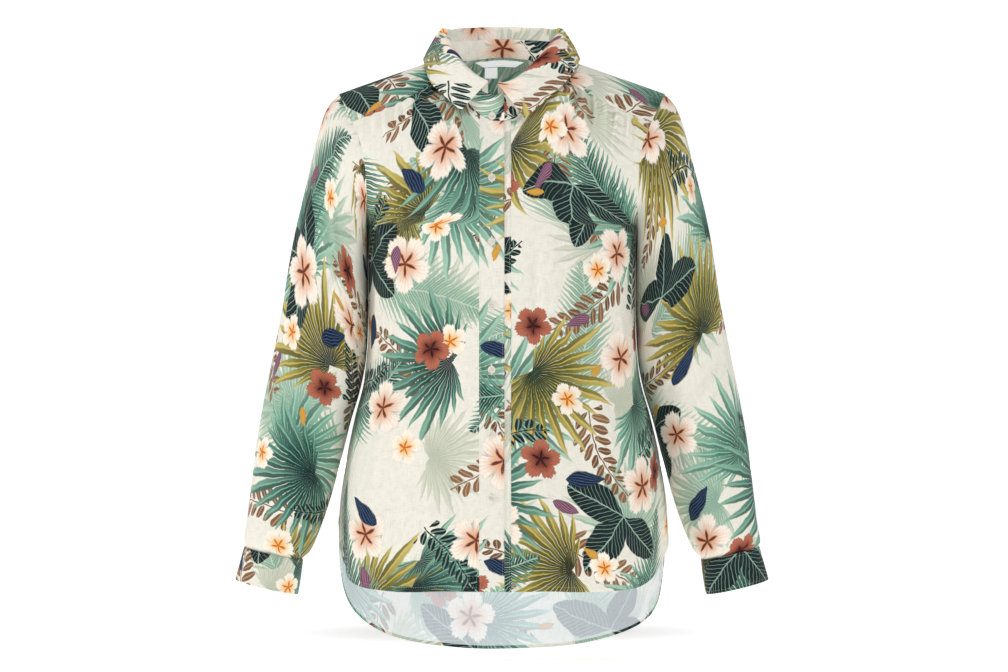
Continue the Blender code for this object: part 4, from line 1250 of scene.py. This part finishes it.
# across is the distance round from the outer line, towards the back, along the distance up
# from the cuff.
SLEEVE_CREASES = {
    -1: creases(
        (-75, 455, 150, 9, -5.7, 34, 1.5),
        (-100, 420, 150, 9, 5.3, 30, 1.2),
        (-55, 380, 130, 9, 4.2, -24, 1),
        (-120, 350, 130, 8, -4.6, -30, 1),
        (-60, 300, 150, 9, -4.9, -16, 0.8),
        (-110, 270, 120, 9, 4.6, 50, 1.5),
        (-80, 235, 110, 7, -4.6, 58, 1.5),
        (-50, 190, 140, 9, 4.6, 18, 0.8),
        (-100, 160, 120, 8, -4.2, 12, 0.6),
        (-20, 330, 180, 10, 4.2, 4, 0.4),
        (20, 200, 160, 9, -4.2, -6, 0.5),
        (70, 420, 150, 9, -5.3, -30, -1.2),
        (110, 360, 140, 9, 4.9, -36, -1.2),
        (60, 290, 150, 9, 4.9, 20, 0.8),
        (110, 240, 120, 8, -4.9, -54, -1.4),
        (60, 160, 130, 9, -3.8, -10, 0.6),
        (180, 300, 200, 11, -4.2, 6, 0.3),
    ),
    1: creases(
        (-80, 460, 140, 9, -5.3, 30, 1.4),
        (-108, 415, 160, 9, 4.9, 33, 1),
        (-48, 370, 140, 9, 4.6, -20, 0.9),
        (-115, 335, 120, 8, -4.9, -34, 1.1),
        (-68, 310, 140, 9, -4.2, -12, 0.6),
        (-100, 262, 130, 9, 4.9, 46, 1.4),
        (-72, 222, 120, 8, -4.9, 54, 1.6),
        (-44, 176, 150, 9, 4.2, 14, 0.6),
        (-92, 150, 110, 8, -4.6, 16, 0.7),
        (-14, 345, 170, 10, 4.2, 6, 0.4),
        (26, 215, 150, 9, -3.8, -4, 0.4),
        (78, 430, 140, 9, -4.9, -28, -1),
        (104, 350, 150, 9, 4.9, -32, -1.2),
        (66, 280, 140, 9, 4.6, 22, 0.8),
        (104, 230, 130, 8, -4.9, -50, -1.2),
        (52, 150, 140, 9, -4.2, -12, 0.5),
        (176, 310, 190, 11, -4.2, 8, 0.3),
    ),
}


def ring_points(side, ring, turn):
    """Points of a ring: its turn is 0 on the outer side, a right angle at the back."""
    middle = np.array([ring.outer_x + ring.inner_x, 0, ring.outer_z + ring.inner_z]) / 2
    half = np.array([ring.outer_x - ring.inner_x, 0, ring.outer_z - ring.inner_z]) / 2
    points = middle + half * np.cos(turn)[:, None]
    points[:, 1] = ring.half_depth * np.sin(turn) - ring.forward
    points[:, 0] -= ring.draw * np.sin(turn) ** 2
    return points * (side, 1, 1)


def armhole_ring(side, turn):
    """The armhole seam, in step with the rings."""
    z = (ARM_TOP_Z + ARMPIT_Z + (ARM_TOP_Z - ARMPIT_Z) * np.cos(turn)) / 2
    front = turn < 0
    points = body_point(side * armhole_x(z, front), z, front)
    points[:, 0] += side * mix(*ARMHOLE_SET, ((1 - np.cos(turn)) / 2) ** 6)
    return points * (1, ARMHOLE_SINK, 1)


for side, word, corner in ((-1, "right", (11.53, 1.91)), (1, "left", (13.19, 4.57))):
    turn = np.linspace(-math.pi, math.pi, 169)[:-1]
    rings = [armhole_ring(side, turn)] + [ring_points(side, ring, turn) for ring in SLEEVE]
    grid = spline(np.array(rings), 210)[::-1]
    if side < 0:
        grid, turn = grid[:, ::-1], turn[::-1]
    out = outward(grid, closed=True)
    girth = np.linalg.norm(np.roll(grid, -1, axis=1) - grid, axis=-1).sum(axis=1)[:, None]
    across = turn * girth / math.tau
    up = run(grid, 0)
    up = np.broadcast_to(up.mean(axis=1, keepdims=True), across.shape)
    down = up[-1:] - up
    lift = pressed(SLEEVE_CREASES[side], across, up, girth)
    wrist = girth[0, 0] / 2
    pleats = gathers(31 + side, -wrist, wrist, count=17, length=0.120, depth=0.0030)
    lift = lift + pressed(pleats, turn * wrist / math.pi, up)
    lift = lift * ease((up - SMOOTH_AT_CUFF) / GROW_AT_CUFF) * ease(down / GROW_AT_ARMHOLE)
    grid = grid + out * lift[..., None]
    pattern = cut_pattern(grid, corner, closed=True)
    panel("sleeve_" + word, grid, pattern, "hung", ["yoke_cloth"], closed=True)

# ==== Cuffs =======================================================================================
# Narrow interlined bands of two layers. Their ends overlap towards the back of the wrist, where
# one button holds them, and they are topstitched along both edges.
CUFF = [
    Ring(0.3250, -0.6460, 0.2495, -0.6640, 0.0375, 0.0000, 0.027),
    Ring(0.3195, -0.6260, 0.2463, -0.6430, 0.0362, 0.0000, 0.026),
    Ring(0.3141, -0.6057, 0.2436, -0.6217, 0.0350, 0.0000, 0.025),
]
CUFF_WALL = 0.0015
CUFF_BUTTON_TURN = math.radians(62)
CUFF_LAP = math.radians(26)  # how far round the ends overlap
CUFF_STITCH = 0.0035  # from an edge to its stitching
CUFF_SUNK = 0.0006  # how far in its rounded edges lie
CUFF_GAP = 0.0003  # between the overlapping ends
CUFF_STEP = math.radians(16)  # over which the under end sinks below the upper one

for side, word, corner in ((-1, "right", (4.42, 9.18)), (1, "left", (16.088, 2.840))):
    last = CUFF_BUTTON_TURN + CUFF_LAP / 2
    turn = np.linspace(last - math.tau - CUFF_LAP, last, 160)
    grid = spline(np.array([ring_points(side, ring, turn) for ring in CUFF]), 26)
    if side < 0:
        grid, turn = grid[:, ::-1], turn[::-1]
    out = outward(grid)
    under = 1 - ease((turn - turn.min() - CUFF_LAP) / CUFF_STEP)
    rim = np.minimum(to_nearer_end(grid, 0), to_nearer_end(grid, 1))
    sunk = sewn_rim(rim, CUFF_STITCH, CUFF_SUNK)
    wrap = CUFF_WALL / 2 - under * (CUFF_WALL + CUFF_GAP) - sunk
    grid = grid + out * wrap[..., None]
    pattern = cut_pattern(grid, corner)
    under_it = ["sleeve_" + word + "_cloth"]
    cloth = {"wall": CUFF_WALL, "looks": (RIGHT_SIDE,)}
    panel("cuff_" + word, grid, pattern, "stretched", under_it, **cloth)
    row = nearest(run(grid, 0)[:, grid.shape[1] // 2], CUFF_STITCH)
    stitches("cuff_" + word + "_stitches", [(grid[i], out[i]) for i in (row, -1 - row)])

# ==== Buttons =====================================================================================
# Seven small pearly resin buttons down the front and one on each cuff, with a raised rim and
# four holes, each sewn on with two bars of thread. Their buttonholes are stitched all round,
# upright on the band and along the cuff.
BUTTON_RADIUS = 0.0046
BUTTON_THICK = 0.0022
HOLE_RADIUS = 0.00055
HOLE_AWAY = 0.00125  # from the middle to each hole
DISH_RADIUS = 0.0029
DISH_DEPTH = 0.0007
RIM = 0.0004
RIM_RISE = 0.0001
BUTTONHOLE_HALF = 0.0068
LOOP_RADIUS = 0.0012  # of the buttonhole's stitching, before it is drawn out to its length
LOOP_HALF_WIDTH = 0.0004
WRIST_X = 0.28


def nothing_selected():
    if bpy.context.mode != "OBJECT":
        bpy.ops.object.mode_set(mode="OBJECT")
    bpy.ops.object.select_all(action="DESELECT")


def pearl():
    """Resin with soft clouds of pearl in it, under a clear gloss."""
    gloss = {"Coat Weight": 0.5, "Coat Roughness": 0.08}
    look, place = material("pearl_resin_buttons", gloss)
    cloud = place.noise(260, 3, Distortion=1.2)
    clear = ((cloud - 0.3) * 2.2).clamp()
    blend(place, ink(214, 206, 188), ink(250, 247, 238), clear).feeds("Base Color")
    (0.16 + cloud * 0.2).feeds("Roughness")
    return look


PEARL = pearl()

nothing_selected()
bpy.ops.mesh.primitive_cylinder_add(
    vertices=48, radius=BUTTON_RADIUS, depth=BUTTON_THICK, location=(0, 0, BUTTON_THICK / 2)
)
disc = bpy.context.object
disc.name = "button_blank"
bpy.ops.object.mode_set(mode="EDIT")
bpy.ops.mesh.select_all(action="DESELECT")
bpy.ops.object.mode_set(mode="OBJECT")
for face in disc.data.polygons:
    face.select = face.normal.z > 0.5
bpy.ops.object.mode_set(mode="EDIT")
bpy.ops.mesh.inset(thickness=RIM)
bpy.ops.transform.translate(value=(0, 0, RIM_RISE))
bpy.ops.mesh.inset(thickness=BUTTON_RADIUS - DISH_RADIUS - 2 * RIM)
bpy.ops.mesh.inset(thickness=RIM)
bpy.ops.transform.translate(value=(0, 0, -DISH_DEPTH))
bpy.ops.object.mode_set(mode="OBJECT")
soften = disc.modifiers.new("soften", "BEVEL")
soften.width = 0.0002
soften.segments = 2
soften.angle_limit = math.radians(25)
bpy.ops.object.modifier_apply(modifier=soften.name)
for i in range(4):
    angle = math.radians(45 + 90 * i)
    nothing_selected()
    bpy.ops.mesh.primitive_cylinder_add(
        vertices=16, radius=HOLE_RADIUS, depth=BUTTON_THICK * 3,
        location=(HOLE_AWAY * math.cos(angle), HOLE_AWAY * math.sin(angle), BUTTON_THICK / 2),
    )
    drill = bpy.context.object
    nothing_selected()
    disc.select_set(True)
    bpy.context.view_layer.objects.active = disc
    hole = disc.modifiers.new("hole", "BOOLEAN")
    hole.object = drill
    hole.solver = "EXACT"
    bpy.ops.object.modifier_apply(modifier=hole.name)
    bpy.data.objects.remove(drill)
bpy.ops.object.shade_smooth_by_angle(angle=math.radians(35))
disc.data.materials.clear()
disc.data.materials.append(PEARL)

bars = []
for side in (-1, 1):
    nothing_selected()
    bpy.ops.mesh.primitive_torus_add(
        major_segments=20, minor_segments=8, major_radius=HOLE_AWAY * 0.72, minor_radius=0.00022,
        rotation=(math.pi / 2, 0, 0),
        location=(0, side * HOLE_AWAY * 0.7071, BUTTON_THICK * 0.72),
    )
    bpy.ops.transform.resize(value=(1.25, 1.6, 0.55))
    bars.append(bpy.context.object)
nothing_selected()
bpy.ops.mesh.primitive_torus_add(
    major_segments=28, minor_segments=8, major_radius=LOOP_RADIUS, minor_radius=LOOP_HALF_WIDTH,
)
loop_half = LOOP_RADIUS + LOOP_HALF_WIDTH
bpy.ops.transform.resize(value=(1, BUTTONHOLE_HALF / loop_half, 0.6))
bars.append(bpy.context.object)
nothing_selected()
for bar in bars:
    bar.select_set(True)
bpy.context.view_layer.objects.active = bars[0]
bpy.ops.object.join()
bpy.ops.object.transform_apply(location=True, rotation=True, scale=True)
bpy.ops.object.shade_smooth()
bars = bpy.context.object
bars.name = "button_thread_blank"
bars.data.materials.append(SEWING_THREAD)


def set_on(node):
    """The place of a button: the middle of its back, with its axis outwards."""
    points = np.array([vertex.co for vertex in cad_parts[node].data.vertices])
    middle = points.mean(axis=0)
    axis = Vector(np.linalg.svd(points - middle)[2][2])
    wrist_x = math.copysign(WRIST_X, middle[0]) if node.startswith("cuff_") else 0
    home = Vector((wrist_x, 0, middle[2]))
    if axis.dot(Vector(middle) - home) < 0:
        axis = -axis
    back = min((Vector(point) - Vector(middle)).dot(axis) for point in points)
    turn = axis.to_track_quat("Z", "Y").to_matrix().to_4x4()
    if node.startswith("cuff_"):
        turn = turn @ Matrix.Rotation(math.pi / 2, 4, "Z")
    return Matrix.Translation(Vector(middle) + axis * back) @ turn


nodes = [f"button_{number}" for number in range(1, 8)] + ["cuff_button_right", "cuff_button_left"]
for node in nodes:
    place = set_on(node)
    for blank, ending, slot in ((disc, "_pearl", "pearl_resin"), (bars, "_thread", "printed_cloth")):
        piece = put(node + ending, blank.data.copy())
        piece.data.transform(place)
        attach(piece, "root")
        if blank is disc:
            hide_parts(node)
bpy.data.objects.remove(disc)
bpy.data.objects.remove(bars)

# ==== Label and size tab ==========================================================================
# A plain white satin tape sewn inside the back of the neck, and a small folded tab hanging below
# it. Neither carries any writing.
LABEL_X = -0.003
LABEL_START = 0.002  # below the neck seam
LABEL_SINK = 0.0028  # inside the yoke
LABEL_WIDTHS = (0.062, 0.040)
LABEL_HEIGHT = 0.011
TAB_X = -0.014
TAB_WIDTHS = (0.016, 0.016)
TAB_HEIGHT = 0.017
TAB_START = LABEL_START + LABEL_HEIGHT + 0.0015
NAPE_CURL = 0.17  # metres down the back for each radian over the ridge, beside the neck
TAPE_WALL = 0.0005

satin = plain("label_satin", ink(250, 250, 250), 0.42)
# Painted light: the label glows in its own colour, so that it stays white in the shade inside the
# neck.
painted_glow(satin, 0.44)


def tape_grid(widths, start, height, centre, columns, rows):
    share = np.linspace(0, 1, rows)[::-1, None]
    half = mix(*widths, share) / 2
    x = centre + half * np.linspace(1, -1, columns)
    over = neck(np.arcsin(x / NECK_HALF_WIDTH))[1] + (start + height * share) / NAPE_CURL
    return over_point(x, over) - out_of(x, over) * LABEL_SINK


for name, node, widths, start, height, centre in (
    ("label_tape", "neck_label", LABEL_WIDTHS, LABEL_START, LABEL_HEIGHT, LABEL_X),
    ("size_tape", "size_tab", TAB_WIDTHS, TAB_START, TAB_HEIGHT, TAB_X),
):
    grid = tape_grid(widths, start, height, centre, columns=40, rows=12)
    tape = sheet(name, grid, cut_pattern(grid, (0, 0)), TAPE_WALL, (satin,))
    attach(tape, "root")
    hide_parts(node)

# ==== Studio ======================================================================================
# A white sweep of paper just below the hem, with a painted shadow behind the hem where it glows less,
# three broad soft lights and a camera level with the middle of the shirt.
FLOOR_Z = BACK_HEM_Z - 0.012
# How far back the paper's profile passes, and how high above the floor.
SWEEP = [(-4.0, 0.0), (4.6, 0.0), (5.4, 0.09), (6.1, 0.40), (6.6, 0.9), (6.9, 1.6), (7.0, 3.6)]
SWEEP_HALF_WIDTH = 5.0
SWEEP_ROWS = 60
WHITE = (1, 1, 1, 1)
PAPER_WHITE = (0.9, 0.9, 0.9, 1)
PAPER_GLOW = 0.69
WORLD_LIGHT = 0.20
LENS = 116.15
LENS_PLACE = (0.0025, -4.0, -0.349)
PAINTED_SHADOW_GLOW = 0.14  # share of its glow just behind the hem, a painted shadow where the paper glows less
PAPER_SHADOW = (0, 0.57, FLOOR_Z)  # the middle of that place
PAPER_REACH = (0.05, 0.42)  # metres from it between which the glow grows to its full strength
PAPER_SQUEEZE = (1, 1.8, 1)  # the painted shadow is this much broader than it is deep


def paper():
    """White background paper, lit through from behind so that it stays white, with a painted shadow
    behind the hem where it glows less.
    """
    matt = {"Base Color": PAPER_WHITE, "Roughness": 0.9, "Specular IOR Level": 0.1}
    look, place = material("white_paper", {**matt, "Emission Strength": PAPER_GLOW})
    away = place.vector("SUBTRACT", place, PAPER_SHADOW)
    far = place.vector("LENGTH", place.vector("MULTIPLY", away, PAPER_SQUEEZE)).output("Value")
    grown = ((far - PAPER_REACH[0]) / (PAPER_REACH[1] - PAPER_REACH[0])).clamp()
    blend(place, (PAINTED_SHADOW_GLOW,) * 3 + (1,), WHITE, grown).feeds("Emission Color")
    return look


profile = spline(np.array([(0, y, FLOOR_Z + z) for y, z in SWEEP]), SWEEP_ROWS)
points = [(x, y, z) for _, y, z in profile for x in (-SWEEP_HALF_WIDTH, SWEEP_HALF_WIDTH)]
faces = [(2 * i, 2 * i + 1, 2 * i + 3, 2 * i + 2) for i in range(SWEEP_ROWS - 1)]
sweep = meshed("paper_sweep", points, faces, [paper()])
sweep.data.shade_smooth()

for name, place, target_z, size, power in (
    ("key", (-2.8, -1.1, 0.9), -0.35, (0.6, 0.8), 39),
    ("side", (2.7, -2.2, 0.3), -0.35, (1.0, 1.0), 23),
    ("top", (0.3, -1.0, 2.0), -0.40, (1.4, 0.8), 22),
):
    lamp = bpy.data.lights.new(name, "AREA")
    lamp.shape = "RECTANGLE"
    lamp.size, lamp.size_y = size
    lamp.energy = power
    holder = put(name, lamp)
    holder.location = place
    aim = Vector((0, 0, target_z)) - Vector(place)
    holder.rotation_euler = aim.to_track_quat("-Z", "Y").to_euler()

world = bpy.data.worlds.new("studio")
world.use_nodes = True
backdrop = world.node_tree.nodes["Background"]
backdrop.inputs["Color"].default_value = WHITE
backdrop.inputs["Strength"].default_value = WORLD_LIGHT
bpy.context.scene.world = world
bpy.context.scene.view_settings.view_transform = "Standard"

lens = bpy.data.cameras.new("camera")
lens.sensor_width = 36
lens.lens = LENS
lens.clip_end = 50
camera = put("camera", lens)
camera.location = LENS_PLACE
camera.rotation_euler = (math.pi / 2, 0, 0)
bpy.context.scene.camera = camera
